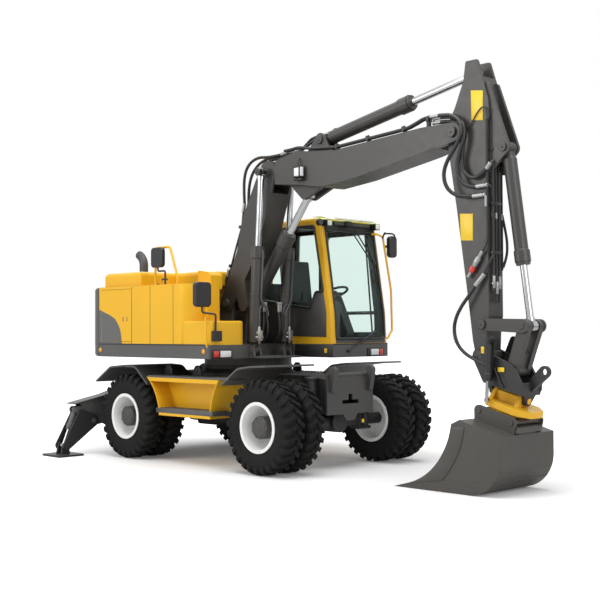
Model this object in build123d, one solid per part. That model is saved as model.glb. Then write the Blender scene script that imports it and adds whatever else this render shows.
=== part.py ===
from build123d import *
import os
from math import atan2, degrees, hypot, sqrt

# Wheeled excavator, in millimetres. X points forward, Y to the left, Z up.
# The origin is on the ground, in the middle of the machine's own box.
# The undercarriage is placed from its front axle. The upper structure is drawn from
# the slew axis, and the boom and tool from the boom's own plane on that structure.

os.makedirs("parts", exist_ok=True)

# Driving sizes of the undercarriage
front_axle_x = 230.0
wheelbase = 2600.0
slew_behind_front_axle = 1570.0
half_width = 1270.0
tyre_radius = 556.0
tyre_width = 272.0
twin_gap = 56.0
rim_radius = 298.0
axle_z = tyre_radius
kingpin_y = 560.0
frame_half_width = 400.0
frame_top_z = 1130.0
frame_bottom_z = 690.0
wing_half_width = 640.0

# Driving sizes of the upper structure
upper_half_width = 1245.0
tail_radius = 2200.0
deck_bottom_z = 1333.0
deck_top_z = 1503.0
body_top_z = 2270.0
hood_top_z = 2460.0
cab_right_y = 205.0
cab_top_z = 3120.0
ring_radius = 580.0
ring_bottom_z = 1230.0

# The boom's plane and its pins, as (x from the slew axis, z)
boom_y = -280.0
boom_foot = (90.0, 2040.0)
knuckle_pin = (870.0, 3655.0)
nose_pin = (3814.0, 3786.0)
lift_base = (718.0, 1430.0)
fold_base = (400.0, 2000.0)
fold_eye = (1470.0, 3350.0)
arm_base = (1740.0, 3975.0)
arm_eye = (4019.0, 4411.0)
curl_base = (4402.0, 3566.0)
rocker_pin = (4166.0, 1734.0)
curl_eye = (4660.0, 1716.0)
tip_pin = (4120.0, 1408.0)
link_pin = (4498.0, 1256.0)

# Running clearances
pin_gap = 0.3
side_gap = 5.0
seat_gap = 0.3

rear_axle_x = front_axle_x - wheelbase
slew_x = front_axle_x - slew_behind_front_axle
UPPER = Pos(slew_x, 0, 0)
BOOM = Pos(slew_x, boom_y, 0)


def write(node, part):
    """Write one node as its own STEP file."""
    shape = part if isinstance(part, (Part, Solid, Compound)) else Part() + part
    export_step(shape, "parts/" + node + ".step")


def block(x0, x1, y0, y1, z0, z1):
    """A box from its lowest to its highest corner."""
    centre = Pos((x0 + x1) / 2, (y0 + y1) / 2, (z0 + z1) / 2)
    return centre * Box(abs(x1 - x0), abs(y1 - y0), abs(z1 - z0))


def side_profile(face, y0, y1):
    """Stand a sketch drawn in (x, z) up and give it the thickness from y0 to y1."""
    sheet = Plane.XZ * face
    return Pos(0, y1, 0) * extrude(sheet, y1 - y0, dir=(0, -1, 0))


def cross_profile(face, x0, x1):
    """Stand a sketch drawn in (y, z) up and give it the length from x0 to x1."""
    sheet = Plane.YZ * face
    return Pos(x0, 0, 0) * extrude(sheet, x1 - x0, dir=(1, 0, 0))


def outline(points, radius=0.0):
    """A closed outline through a few points, with all its corners rounded alike."""
    face = make_face(Polyline(*points, close=True))
    return fillet(face.vertices(), radius) if radius else face


def hull_outline(circles):
    """The tight outline round circles given as (x, z, radius)."""
    edges = [(Pos(x, z) * Circle(r)).edge() for x, z, r in circles]
    return make_hull(edges)


def hull_chain(circles, y0, y1):
    """A plate that follows a chain of circles (x, z, radius), each pair with a tight outline."""
    face = hull_outline(circles[0:2])
    for first in range(1, len(circles) - 1):
        face += hull_outline(circles[first:first + 2])
    return side_profile(face, y0, y1)


def across(pin, radius, y0, y1):
    """A round bar along Y at a pin's place."""
    bar = Cylinder(radius, y1 - y0, rotation=(90, 0, 0))
    return Pos(pin[0], (y0 + y1) / 2, pin[1]) * bar


def heading(start, end):
    """The angle above horizontal from one pin to another, and their distance."""
    dx = end[0] - start[0]
    dz = end[1] - start[1]
    return degrees(atan2(dz, dx)), hypot(dx, dz)


def ram_place(start, end, y):
    """Where a ram drawn along +X from its own origin goes between two pins."""
    angle, length = heading(start, end)
    return Pos(start[0], y, start[1]) * Rot(0, -angle, 0)


def turned(radius_steps):
    """A turned piece along +X from a table of (x, radius) steps, closed on its axis."""
    points = [(radius_steps[0][0], 0)] + list(radius_steps) + [(radius_steps[-1][0], 0)]
    face = make_face(Polyline(*points, close=True))
    return revolve(face, Axis.X)


def ram_barrel(length, radius, bore, eye_radius, eye_width, pin_radius, rod_radius, neck_length,
               floor=50, gland=60):
    """A ram's barrel from its base eye at the origin to its gland at `length`."""
    head_length = 2.2 * radius
    collar = radius * 1.16
    neck = eye_width / 2 - 1
    shoulder = min(24, floor / 2)
    body = turned([
        (eye_radius * 0.75, neck),
        (neck_length, neck),
        (neck_length + shoulder, radius),
        (length - head_length, radius),
        (length - head_length + 12, collar),
        (length - 28, collar),
        (length - 28, collar * 0.88),
        (length, collar * 0.88),
    ])
    eye = Cylinder(eye_radius, eye_width, rotation=(90, 0, 0))
    hollow = turned([(neck_length + floor, bore), (length - gland, bore)])
    throat = turned([(length - gland - 10, rod_radius + pin_gap), (length + 5, rod_radius + pin_gap)])
    pin_hole = Cylinder(pin_radius + pin_gap, eye_width * 2, rotation=(90, 0, 0))
    return body + eye - hollow - throat - pin_hole


def ram_rod(inner, outer, radius, bore, eye_radius, eye_width, piston=45, collar=22):
    """A ram's rod along +X, from its piston at `inner` to the middle of its eye at `outer`."""
    rod = turned([
        (inner, bore - 1.0),
        (inner + piston, bore - 1.0),
        (inner + piston, radius),
        (outer - eye_radius - collar, radius),
        (outer - eye_radius - collar, radius * 1.25),
        (outer - eye_radius * 0.7, radius * 1.25),
    ])
    eye = Pos(outer, 0, 0) * Cylinder(eye_radius, eye_width, rotation=(90, 0, 0))
    return rod + eye


# Wheels

twin_half = tyre_width + twin_gap / 2
twin_y = half_width - twin_half


def tyre():
    """One tyre about Y: its tread, round shoulders and deep sidewalls on a hollow."""
    half = tyre_width / 2
    bead = rim_radius - 24
    tread = tyre_radius
    profile = make_face(
        Polyline((bead, -half + 38), (rim_radius + 20, -half + 10), (tyre_radius - 120, -half))
        + Line((tyre_radius - 120, -half), (tread - 26, -half + 22))
        + Line((tread - 26, -half + 22), (tread, -half + 52))
        + Line((tread, -half + 52), (tread, half - 52))
        + Line((tread, half - 52), (tread - 26, half - 22))
        + Line((tread - 26, half - 22), (tyre_radius - 120, half))
        + Polyline((tyre_radius - 120, half), (rim_radius + 20, half - 10), (bead, half - 38))
        + Line((bead, half - 38), (bead, -half + 38))
    )
    return revolve(Plane.XY * profile, Axis.Y)


def twin_tyres():
    """Both tyres of a wheel, about their own middle."""
    shift = (tyre_width + twin_gap) / 2
    return Compound(children=[Pos(0, side * shift, 0) * tyre() for side in (-1, 1)])


def twin_rims():
    """The right-hand wheel's rims about their middle, with the deep dish on the outside (-Y)."""
    seat = rim_radius - 24 - seat_gap
    flange = rim_radius
    shift = (tyre_width + twin_gap) / 2
    half = tyre_width / 2
    wall = 14.0
    outer_edge = -shift - half + 8
    inner_edge = shift + half - 8
    dish_y = shift - half + 96
    hub_radius = 132.0
    profile = outline([
        (seat, outer_edge + 12), (flange, outer_edge + 12), (flange, outer_edge),
        (seat - wall, outer_edge), (seat - wall - 34, -shift + 30),
        (hub_radius + 60, dish_y - 40), (hub_radius, dish_y - 40),
        (hub_radius, dish_y), (seat - wall - 20, dish_y),
        (seat - wall, inner_edge), (flange, inner_edge), (flange, inner_edge - 12),
        (seat, inner_edge - 12),
    ])
    rim = revolve(Plane.XY * profile, Axis.Y)
    hub_profile = outline([
        (0, -shift - 26), (96, -shift - 26), (118, -shift - 6), (118, dish_y - 44),
        (hub_radius + 30, dish_y - 44), (hub_radius + 30, dish_y + 20), (0, dish_y + 20),
    ])
    hub = revolve(Plane.XY * hub_profile, Axis.Y)
    return rim + hub


def wheels():
    rims = twin_rims()
    tyres = twin_tyres()
    for name, x in (("front", front_axle_x), ("rear", rear_axle_x)):
        right = Pos(x, -twin_y, axle_z)
        left = Pos(x, twin_y, axle_z) * Rot(0, 0, 180)
        write("tyres_" + name + "_right", right * tyres)
        write("rims_" + name + "_right", right * rims)
        write("tyres_" + name + "_left", left * tyres)
        write("rims_" + name + "_left", left * rims)


fork_gap = 162.0
fork_thick = 34.0
kingpin_radius = 30.0
hub_face_y = twin_y - (tyre_width + twin_gap) / 2 + tyre_width / 2 - 96 - 20


def axle_beam(reach):
    """An axle beam about its own middle: tapered arms and a round middle housing."""
    arms = Part()
    for side in (-1, 1):
        start = Plane.XZ.offset(-side * 90) * Circle(88)
        end = Plane.XZ.offset(-side * reach) * Rectangle(130, 118)
        arms += loft([start, end])
    middle = Cylinder(130, 250, rotation=(0, 90, 0)) + Pos(-20, 0, 0) * Sphere(128)
    return arms + middle


def front_axle():
    """The front beam with its pivot block and the forks round the kingpins."""
    part = axle_beam(kingpin_y - 120)
    for side in (-1, 1):
        for level in (-1, 1):
            z = level * (fork_gap + fork_thick) / 2
            part += Pos(0, side * (kingpin_y - 62), z) * Box(150, 220, fork_thick)
        part += Pos(0, side * (kingpin_y - 148), 0) * Box(150, 48, 220)
        part += Pos(0, side * kingpin_y, 0) * Cylinder(kingpin_radius, 240)
    saddle = Pos(0, 0, (frame_bottom_z - axle_z) / 2 + 60) * Box(240, 190, frame_bottom_z - axle_z - seat_gap)
    part += Pos(0, 0, -60) * saddle
    write("front_axle", Pos(front_axle_x, 0, axle_z) * part)


def knuckles():
    """A steering knuckle: the block between the forks, its kingpin and the stub to the wheel."""
    block_half = fork_gap / 2 - seat_gap
    body = Pos(0, -kingpin_y, 0) * Cylinder(62, 2 * block_half)
    stub_length = hub_face_y - kingpin_y
    stub = Pos(0, -kingpin_y - stub_length / 2 + pin_gap, 0) * Cylinder(70, stub_length, rotation=(90, 0, 0))
    part = body + stub
    part -= Pos(0, -kingpin_y, 0) * Cylinder(kingpin_radius + pin_gap, 400)
    right = Pos(front_axle_x, 0, axle_z) * part
    write("knuckle_right", right)
    write("knuckle_left", mirror(right, about=Plane.XZ))


def rear_axle():
    """The fixed rear beam with its gearbox, shaft and mounting pads."""
    part = axle_beam(hub_face_y)
    for side in (-1, 1):
        pad = block(-90, 90, side * 300 - 70, side * 300 + 70, 40, frame_bottom_z - axle_z - seat_gap)
        part += pad
    gearbox = Pos(330, 0, -16) * Box(420, 300, 290)
    shaft = Pos(wheelbase / 2 + 110, 0, -10) * Cylinder(45, wheelbase - 600, rotation=(0, 90, 0))
    part += fillet(gearbox.edges(), 40)
    part += shaft
    write("rear_axle", Pos(rear_axle_x, 0, axle_z) * part)


# Chassis

plate_x = front_axle_x + 270
plate_thick = 30.0
frame_rear_x = rear_axle_x - 640
ring_lower_top_z = ring_bottom_z - seat_gap


def chassis_frame():
    """The chassis: a box frame, its slew tower and the fixed half of the slew ring."""
    half = frame_half_width
    side = outline([
        (frame_rear_x, 700), (rear_axle_x - 250, frame_bottom_z), (plate_x - seat_gap, frame_bottom_z),
        (plate_x - seat_gap, 1090), (plate_x - 300, frame_top_z), (rear_axle_x - 200, frame_top_z),
        (frame_rear_x, 1020),
    ])
    frame = side_profile(side, -half, half)
    wing_x0 = rear_axle_x + 640
    wing_x1 = front_axle_x - 940
    wing = outline([(wing_x0, 780), (wing_x1, 780), (wing_x1, frame_top_z), (wing_x0, frame_top_z)])
    frame += side_profile(wing, -wing_half_width, wing_half_width)
    tower = Pos(slew_x, 0, (frame_top_z + ring_lower_top_z) / 2 - 10)
    frame += tower * Cone(640, 540, ring_lower_top_z - frame_top_z + 20)
    frame += Pos(slew_x, 0, ring_lower_top_z - 24) * Cylinder(ring_radius + 16, 48)
    frame -= block(plate_x - 160, plate_x, -150, 150, 780, 912)
    write("chassis_frame", frame)


def front_plate():
    """The front plate with its hitch slot, tongue, cross bar and two horns."""
    shape = outline([
        (-405, 1100), (405, 1100), (405, 665), (130, 665), (70, 585), (-70, 585), (-130, 665), (-405, 665),
    ])
    slot = outline([(-145, 790), (145, 790), (145, 835), (34, 835), (34, 905), (-34, 905), (-34, 835), (-145, 835)])
    plate = cross_profile(shape - slot, plate_x, plate_x + plate_thick)
    bar = Pos(plate_x + 10, 0, 1140) * Cylinder(26, 2 * 400, rotation=(90, 0, 0))
    part = plate + bar + block(plate_x + 2, plate_x + 28, -400, 400, 1085, 1125)
    for side in (-1, 1):
        horn = hull_outline([(plate_x + 62, 1192, 52), (plate_x + 46, 960, 26)])
        part += side_profile(horn, side * 330 - 34, side * 330 + 34)
    write("front_plate", part)


guard_thick = 22.0
guard_outer_y = half_width - 70
# Each guard's section as (x from its axle, z)
front_guard = [(-708, 1026), (-414, 1225), (-182, 1253), (80, 1262)]
rear_guard = [(-765, 993), (-431, 1192), (-110, 1218), (140, 1205), (400, 985)]


def guard(axle_x, points, y0, y1):
    """One mudguard: a bent sheet over its wheel."""
    path = FilletPolyline(*points, radius=160)
    return Pos(axle_x, 0, 0) * side_profile(trace(path, guard_thick), y0, y1)


def mudguards():
    """Four mudguards, each wide enough for its twin tyres."""
    inner_y = frame_half_width + seat_gap
    guards = []
    for side in (-1, 1):
        y0, y1 = sorted((side * inner_y, side * guard_outer_y))
        guards.append(guard(front_axle_x, front_guard, y0, y1))
        guards.append(guard(rear_axle_x, rear_guard, y0, y1))
    write("mudguards", Compound(children=guards))


def side_lockers():
    """The lockers between the wheels: a set-back face between curved ends, with two steps."""
    outer = 1200.0
    face_y = 950.0
    inner = wing_half_width + seat_gap
    front_sweep = 920.0
    rear_sweep = 660.0
    x0 = rear_axle_x
    x1 = front_axle_x
    body = block(x0 + 300, x1 - 500, -outer, -inner, 600, 1085)
    body -= Pos(x0, -outer / 2 - inner / 2, axle_z) * Cylinder(rear_sweep, outer, rotation=(90, 0, 0))
    body -= Pos(x1, -outer / 2 - inner / 2, axle_z) * Cylinder(front_sweep, outer, rotation=(90, 0, 0))
    recess = block(x0 + 250, x1 - 450, -outer - 10, -face_y, 690, 1030)
    recess -= Pos(x0, -outer, axle_z) * Cylinder(rear_sweep + 14, 3 * outer, rotation=(90, 0, 0))
    recess -= Pos(x1, -outer, axle_z) * Cylinder(front_sweep + 14, 3 * outer, rotation=(90, 0, 0))
    body -= recess
    left = mirror(body, about=Plane.XZ)
    write("side_lockers", Compound(children=[body, left]))


# Stabilisers

stabiliser_x = rear_axle_x - 880
# The right leg's pins as (distance from the middle, z)
leg_hinge = (1230.0, 455.0)
leg_top_pin = (1460.0, 610.0)
foot_pin = (1650.0, 135.0)
leg_half = 105.0
leg_plate = 22.0
arm_half = 77.0
arm_plate = 22.0
beam_half = 135.0
beam_reach = 760.0
leg_pin_radius = 34.0
leg_ram_pin_radius = 20.0
pad_size = (450.0, 400.0, 26.0)


def stabiliser_housing():
    """The rear cross beam with an arm to each leg, and a bent cover plate over each ram."""
    part = block(-beam_half, beam_half, -beam_reach, beam_reach, 440, 680)
    part += block(-beam_half, frame_rear_x - seat_gap - stabiliser_x, -330, 330, 520, 980)
    for side in (-1, 1):
        arm = hull_outline([
            (side * leg_hinge[0], leg_hinge[1], 70), (side * leg_top_pin[0], leg_top_pin[1], 46),
            (side * (beam_reach - 60), 560, 112),
        ])
        gusset = outline([
            (side * 640, 670), (side * 640, 893), (side * 1008, 790), (side * 1440, 700), (side * 1300, 560),
        ])
        for inner in (-1, 1):
            x0, x1 = sorted((inner * (arm_half - arm_plate), inner * arm_half))
            part += cross_profile(arm, x0, x1) + cross_profile(gusset, x0, x1)
        cover = outline([
            (side * 640, 905), (side * 1010, 802), (side * 1530, 700), (side * 1527, 688), (side * 1008, 790),
            (side * 640, 893),
        ])
        part += cross_profile(cover, -leg_half, leg_half)
        hinge = Cylinder(leg_pin_radius, 2 * leg_half + 20, rotation=(0, 90, 0))
        part += Pos(0, side * leg_hinge[0], leg_hinge[1]) * hinge
        top = Cylinder(leg_ram_pin_radius, 2 * arm_half + 8, rotation=(0, 90, 0))
        part += Pos(0, side * leg_top_pin[0], leg_top_pin[1]) * top
    write("stabiliser_housing", Pos(stabiliser_x, 0, 0) * part)


def stabiliser_leg():
    """The right leg: a deep channel, open outward, that straddles the housing's arm."""
    hy, hz = leg_hinge
    fy, fz = foot_pin
    shape = hull_outline([(-hy, hz, 84), (-1425, 585, 34), (-fy, fz, 58)])
    leg = cross_profile(shape, -leg_half, leg_half)
    inside = leg_half - leg_plate
    channel = hull_outline([(-hy, hz, 60), (-fy, fz, 34), (-1800, 260, 100), (-1500, 760, 160)])
    leg -= cross_profile(channel, -inside, inside)
    for y, z, radius in ((-hy, hz, 98), (-fy, fz, 97)):
        leg -= Pos(0, y, z) * Cylinder(radius, 2 * inside, rotation=(0, 90, 0))
    leg -= Pos(0, -hy, hz) * Cylinder(leg_pin_radius + pin_gap, 400, rotation=(0, 90, 0))
    leg -= Pos(0, -fy, fz) * Cylinder(foot_pin_radius + pin_gap, 400, rotation=(0, 90, 0))
    return leg


foot_pin_radius = 24.0
pad_ear_inner = 42.0
pad_ear_outer = 70.0


def stabiliser_pad():
    """The right foot: a plate with two ears, each with its own half of the pin."""
    fy, fz = foot_pin
    length, width, thick = pad_size
    plate = block(-length / 2, length / 2, -fy - width / 2, -fy + width / 2, 0, thick)
    pad = fillet(plate.edges().filter_by(Axis.Z), 40)
    ear = hull_outline([(-fy, fz, 44), (-fy - 52, thick + 10, 14), (-fy + 52, thick + 10, 14)])
    for side in (-1, 1):
        x0, x1 = sorted((side * pad_ear_inner, side * pad_ear_outer))
        pad += cross_profile(ear, x0, x1)
        x0, x1 = sorted((side * pad_ear_inner, side * (leg_half + 10)))
        pad += Pos((x0 + x1) / 2, -fy, fz) * Cylinder(foot_pin_radius, x1 - x0, rotation=(0, 90, 0))
    return pad


def stabilisers():
    """Both legs with their rams, rods and foot pads."""
    angle, length = heading(leg_top_pin, foot_pin)
    start = Pos(0, -leg_top_pin[0], leg_top_pin[1]) * Rot(0, 0, -90) * Rot(0, -angle, 0)
    barrel = ram_barrel(286, 40, 32, 38, 60, leg_ram_pin_radius, 20, 44, 8, 24)
    rod = ram_rod(length - 271, length, 20, 32, 30, 60, 20, 2)
    pieces = (("leg", stabiliser_leg()), ("pad", stabiliser_pad()), ("barrel", start * barrel), ("rod", start * rod))
    for name, shape in pieces:
        placed = Pos(stabiliser_x, 0, 0) * shape
        write("stabiliser_" + name + "_right", placed)
        write("stabiliser_" + name + "_left", mirror(placed, about=Plane.XZ))


# Upper structure

deck_front_right_x = 690.0
cab_front_x = 1380.0
nose_front_x = 950.0
body_front_x = 245.0
tail_corner_x = -sqrt(tail_radius ** 2 - upper_half_width ** 2)
body_rear_x = round(tail_corner_x + 163.8)
cab_rear_x = -400.0
hood_split_x = -780.0
hood_rear_x = body_rear_x + 50


def upper_deck():
    """The deck: its slab with skirts, the rotating ring half, boom bracket and ram feet."""
    w = upper_half_width
    plan = outline([
        (body_rear_x + seat_gap, -w), (deck_front_right_x, -w), (deck_front_right_x, -600), (nose_front_x, -600),
        (nose_front_x, 60), (deck_front_right_x, 60), (deck_front_right_x, cab_right_y), (cab_front_x, cab_right_y),
        (cab_front_x, w), (body_rear_x + seat_gap, w),
    ])
    slab = Pos(0, 0, deck_bottom_z) * extrude(plan, deck_top_z - deck_bottom_z - seat_gap)
    slab -= block(deck_front_right_x - 200, nose_front_x + 10, -600, cab_right_y - 30, deck_bottom_z + 25, deck_top_z + 10)
    slab += Pos(0, 0, (ring_bottom_z + deck_bottom_z) / 2) * Cylinder(ring_radius, deck_bottom_z - ring_bottom_z)
    part = slab
    bracket = hull_outline([
        (boom_foot[0], boom_foot[1], 95), (-330, deck_top_z - 20, 20), (110, deck_top_z - 20, 20),
    ])
    for side in (-1, 1):
        y0, y1 = sorted((boom_y + side * 100, boom_y + side * 145))
        part += side_profile(bracket, y0, y1)
    part += block(-330, -60, boom_y - 145, boom_y + 145, deck_top_z - 20, 1760)
    part += across(boom_foot, 50, boom_y - 190, boom_y + 190)
    clevis = hull_outline([(lift_base[0], lift_base[1], 66), (lift_base[0] - 68, deck_bottom_z + 27, 20),
                           (lift_base[0] + 68, deck_bottom_z + 27, 20)])
    for side in (-1, 1):
        centre = boom_y + side * lift_offset
        for inner in (-1, 1):
            y0, y1 = sorted((centre + inner * (lift_eye_width / 2 + side_gap), centre + inner * (lift_eye_width / 2 + 30)))
            part += side_profile(clevis, y0, y1)
        part += across(lift_base, 40, centre - 75, centre + 75)
    write("upper_deck", UPPER * part)


def counterweight():
    """The cast counterweight: a round tail with rounded upright corners."""
    w = upper_half_width
    front = body_rear_x
    tail = Circle(tail_radius)
    block_face = Pos((front - 3000) / 2, 0) * Rectangle(3000 + front, 2 * w)
    face = tail & block_face
    corners = [v for v in face.vertices() if v.X < front - 10]
    face = fillet(corners, 260)
    part = Pos(0, 0, deck_bottom_z) * extrude(face, body_top_z - deck_bottom_z)
    levels = part.edges().group_by(Axis.Z)
    rims = [e for e in list(levels[0]) + list(levels[-1]) if e.center().X < front - 1]
    part = fillet(rims, 40)
    write("counterweight", UPPER * part)


deck_box_inner_y = -640.0
bay_x0 = body_rear_x + 60
bay_x1 = -840.0
bay_half = upper_half_width - 50
hood_half = bay_half - 15
hood_nose_half = 620.0
door_x0 = body_rear_x + 50
door_x1 = -905.0
door_z0 = 1540.0
door_z1 = 2230.0


def deck_box():
    """The low box in front of the tank, with its rounded front corner."""
    w = upper_half_width
    part = block(body_front_x - 60, deck_front_right_x - 10, -w + 4, deck_box_inner_y, deck_top_z, 1800)
    upright = part.edges().filter_by(Axis.Z).sort_by(Axis.X)[-2:]
    part = fillet(upright, 90)
    top = part.faces().sort_by(Axis.Z)[-1]
    part = fillet(top.edges(), 28)
    return part


def body_shell():
    """The panels behind the cab: an open engine bay, the tank, front box and hood's front cap."""
    w = upper_half_width
    rear = body_rear_x + seat_gap
    part = block(rear, -450, -w, w, deck_top_z, body_top_z)
    tank = block(-450, body_front_x, -w, -700, deck_top_z, body_top_z)
    corner = tank.edges().filter_by(Axis.Z).sort_by(lambda e: e.center().Y - e.center().X)[0]
    part += fillet(corner, 170)
    part += block(-450, -360, -700, 150, deck_top_z, body_top_z)
    part -= block(bay_x0, bay_x1, -bay_half, bay_half, deck_top_z - 5, body_top_z + 5)
    part -= block(door_x0 - seat_gap, door_x1 + 4, -w - 5, -bay_half + 5, door_z0 - 4, door_z1 + 4)
    cap_side = outline([
        (-40, body_top_z - 60), (215, body_top_z - 60), (215, hood_top_z - 75), (160, hood_top_z - 30),
        (-40, hood_top_z - 5),
    ])
    part += side_profile(cap_side, -bay_half + 375, -hood_nose_half - 10)
    part += deck_box()
    write("body_shell", UPPER * part)


def engine():
    """The engine as one plain block under the hood."""
    part = block(bay_x0 + 110, bay_x1 - 90, -560, 760, deck_top_z, 2160)
    write("engine", UPPER * part)


def exhaust():
    """The curved exhaust stack behind the hood."""
    base = Vector(body_rear_x - 200, -350, body_top_z)
    path = Line((base.X, base.Y, base.Z), (base.X, base.Y, base.Z + 340))
    bend = TangentArc((base.X, base.Y, base.Z + 340), (base.X - 110, base.Y, base.Z + 500), tangent=(0, 0, 1))
    wire = path + bend
    profile = Plane(path @ 0, z_dir=path % 0) * Circle(62)
    part = sweep(profile, path=wire)
    write("exhaust", UPPER * part)


def engine_hood():
    """The raised hood over the engine bay, one shell with a wide rear and a narrow front."""
    low = body_top_z + seat_gap
    plan = outline([
        (hood_rear_x, -hood_half), (hood_split_x, -hood_half), (hood_split_x, -hood_nose_half), (-50, -hood_nose_half),
        (-50, 130), (hood_split_x, 130), (hood_split_x, hood_half), (hood_rear_x, hood_half),
    ])
    solid = Pos(0, 0, low) * extrude(plan, hood_top_z - low)
    top = solid.faces().sort_by(Axis.Z)[-1]
    solid = fillet(top.edges(), 60)
    inner_plan = offset(plan, amount=-28, kind=Kind.INTERSECTION)
    hollow = Pos(0, 0, low - 5) * extrude(inner_plan, hood_top_z - low - 28 + 5)
    write("engine_hood", UPPER * (solid - hollow))


def service_door():
    """The right service door, hinged at its rear edge."""
    w = upper_half_width
    part = block(door_x0, door_x1, -w, -bay_half - seat_gap, door_z0, door_z1)
    write("service_door", UPPER * part)


def bar_path(points, radius, bend):
    """A bent round bar through a few points, its corners rounded to `bend`."""
    wire = FilletPolyline(*points, radius=bend)
    start = Plane(wire @ 0, z_dir=wire % 0)
    return sweep(start * Circle(radius), path=wire)


def handrails():
    """The yellow rails: a hoop over the tank, one down its front, and one beside the cab."""
    foot_z = body_top_z + seat_gap
    rail_y = -1100.0
    hoop = bar_path([(-573, rail_y, foot_z), (-573, rail_y, 2760), (-265, rail_y, 2760),
                     (-110, rail_y, 2370), (-110, rail_y, foot_z)], 16, 45)
    face_x = body_front_x + seat_gap
    front = bar_path([(face_x, -960, 2230), (face_x + 60, -960, 2230),
                      (face_x + 60, -960, 1850), (face_x, -960, 1850)], 14, 28)
    side = cab_left_y + seat_gap
    cab_rail = bar_path([(1196, 1150, 2950), (1275, 1165, 2950), (1290, 1262, 2916), (1300, 1411, 2212),
                         (1300, 1426, 1676), (1300, 1340, 1570), (1300, side, 1570)], 14, 30)
    write("handrails", UPPER * Compound(children=[hoop, front, cab_rail]))


def mirrors():
    """Two right-hand mirrors and the left one, each a rounded case on a bent arm."""
    # Each row: the case's centre, its size
    cases = [
        ((-455, -1150, 2628), (240, 60, 261)),
        ((640, -1310, 2119), (66, 250, 304)),
        ((1312, 1418, 2790), (66, 150, 290)),
    ]
    foot_z = body_top_z + seat_gap
    clamp_x = deck_front_right_x - 10 + seat_gap
    arms = [
        [(-455, -1150, 2510), (-455, -1150, 2450), (-300, -1150, 2450), (-300, -1150, foot_z)],
        [(640, -1310, 1980), (640, -1310, 1900), (clamp_x + 25, -1150, 1880), (clamp_x + 25, -1150, 1600)],
    ]
    pieces = []
    for centre, size in cases:
        case = Pos(*centre) * Box(*size)
        thin = 0 if size[0] < size[1] else 1
        flat = case.edges().filter_by(Axis.X if thin == 0 else Axis.Y)
        pieces.append(fillet(fillet(flat, 52).edges(), 14))
    for number, points in enumerate(arms):
        pieces[number] += bar_path(points, 12, 26)
    pieces[1] += block(clamp_x, clamp_x + 50, -1196, -1069, 1550, 1676)
    pieces[2] += block(1280, 1310, 1306.3, 1350, 2776, 2806)
    write("mirrors", UPPER * Compound(children=pieces))


# Cab

cab_wall = 50.0
glass_inset = 14.0
glass_thick = 7.0
cab_left_y = upper_half_width


def cab_outline(inset):
    """The cab's side outline, drawn in by `inset`."""
    face = outline([
        (cab_rear_x, deck_top_z), (cab_front_x, deck_top_z), (cab_front_x - 20, 1900), (1165, cab_top_z - 20),
        (1060, cab_top_z), (cab_rear_x + 60, cab_top_z), (cab_rear_x, cab_top_z - 90),
    ])
    return offset(face, amount=-inset, kind=Kind.INTERSECTION) if inset else face


def cab_body(inset):
    """The cab's solid, drawn in by `inset` on every side."""
    return side_profile(cab_outline(inset), cab_right_y + inset, cab_left_y - inset)


def front_window(grow):
    """The windscreen's opening, as a prism through the front wall alone."""
    face = outline([
        (cab_right_y + 62 - grow, 1560 - grow), (cab_left_y - 58 + grow, 1560 - grow),
        (cab_left_y - 62 + grow, 2975 + grow), (cab_right_y + 66 - grow, 2975 + grow),
    ], 60)
    return cross_profile(face, 1040, cab_front_x + 20)


def side_window(grow, y0, y1):
    """The right window, low at the rear and stepped up over the dark lower panel."""
    face = outline([
        (-300 - grow, 2130 - grow), (980 + grow, 1960 - grow), (1075 + grow, 2170 - grow), (1215 + grow, 2170 - grow),
        (1055 + grow, 3020 + grow), (-270 - grow, 3020 + grow),
    ], 30)
    return side_profile(face, y0, y1)


def rear_window(grow):
    """The opening in the rear wall."""
    face = outline([
        (cab_right_y + 90 - grow, 2330 - grow), (cab_left_y - 90 + grow, 2330 - grow),
        (cab_left_y - 90 + grow, 2980 + grow), (cab_right_y + 90 - grow, 2980 + grow),
    ], 50)
    return cross_profile(face, cab_rear_x - 20, cab_rear_x + 90)


def door_prism(shrink):
    """The door's own outline in the left wall."""
    face = outline([
        (220 + shrink, deck_top_z + 40 + shrink), (1270 - shrink, deck_top_z + 40 + shrink),
        (1262 - shrink, 1900), (1090 - shrink, 3040 - shrink), (220 + shrink, 3040 - shrink),
    ], 40)
    return side_profile(face, cab_left_y - cab_wall - 2, cab_left_y + 5)


def door_window(grow):
    """The glazed part of the door."""
    face = outline([
        (300 - grow, 1650 - grow), (1190 + grow, 1650 - grow), (1182 + grow, 1900), (1040 + grow, 2960 + grow),
        (300 - grow, 2960 + grow),
    ], 50)
    return side_profile(face, cab_left_y - 100, cab_left_y + 20)


def left_rear_window(grow):
    """The fixed window behind the door."""
    face = outline([
        (-300 - grow, 2130 - grow), (150 + grow, 2130 - grow), (150 + grow, 3020 + grow), (-270 - grow, 3020 + grow),
    ], 40)
    return side_profile(face, cab_left_y - 100, cab_left_y + 20)


def roof_window(grow):
    """The opening in the roof."""
    x0, x1 = 250 - grow, 900 + grow
    return block(x0, x1, cab_right_y + 170 - grow, cab_left_y - 170 + grow, cab_top_z - 90, cab_top_z + 10)


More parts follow.
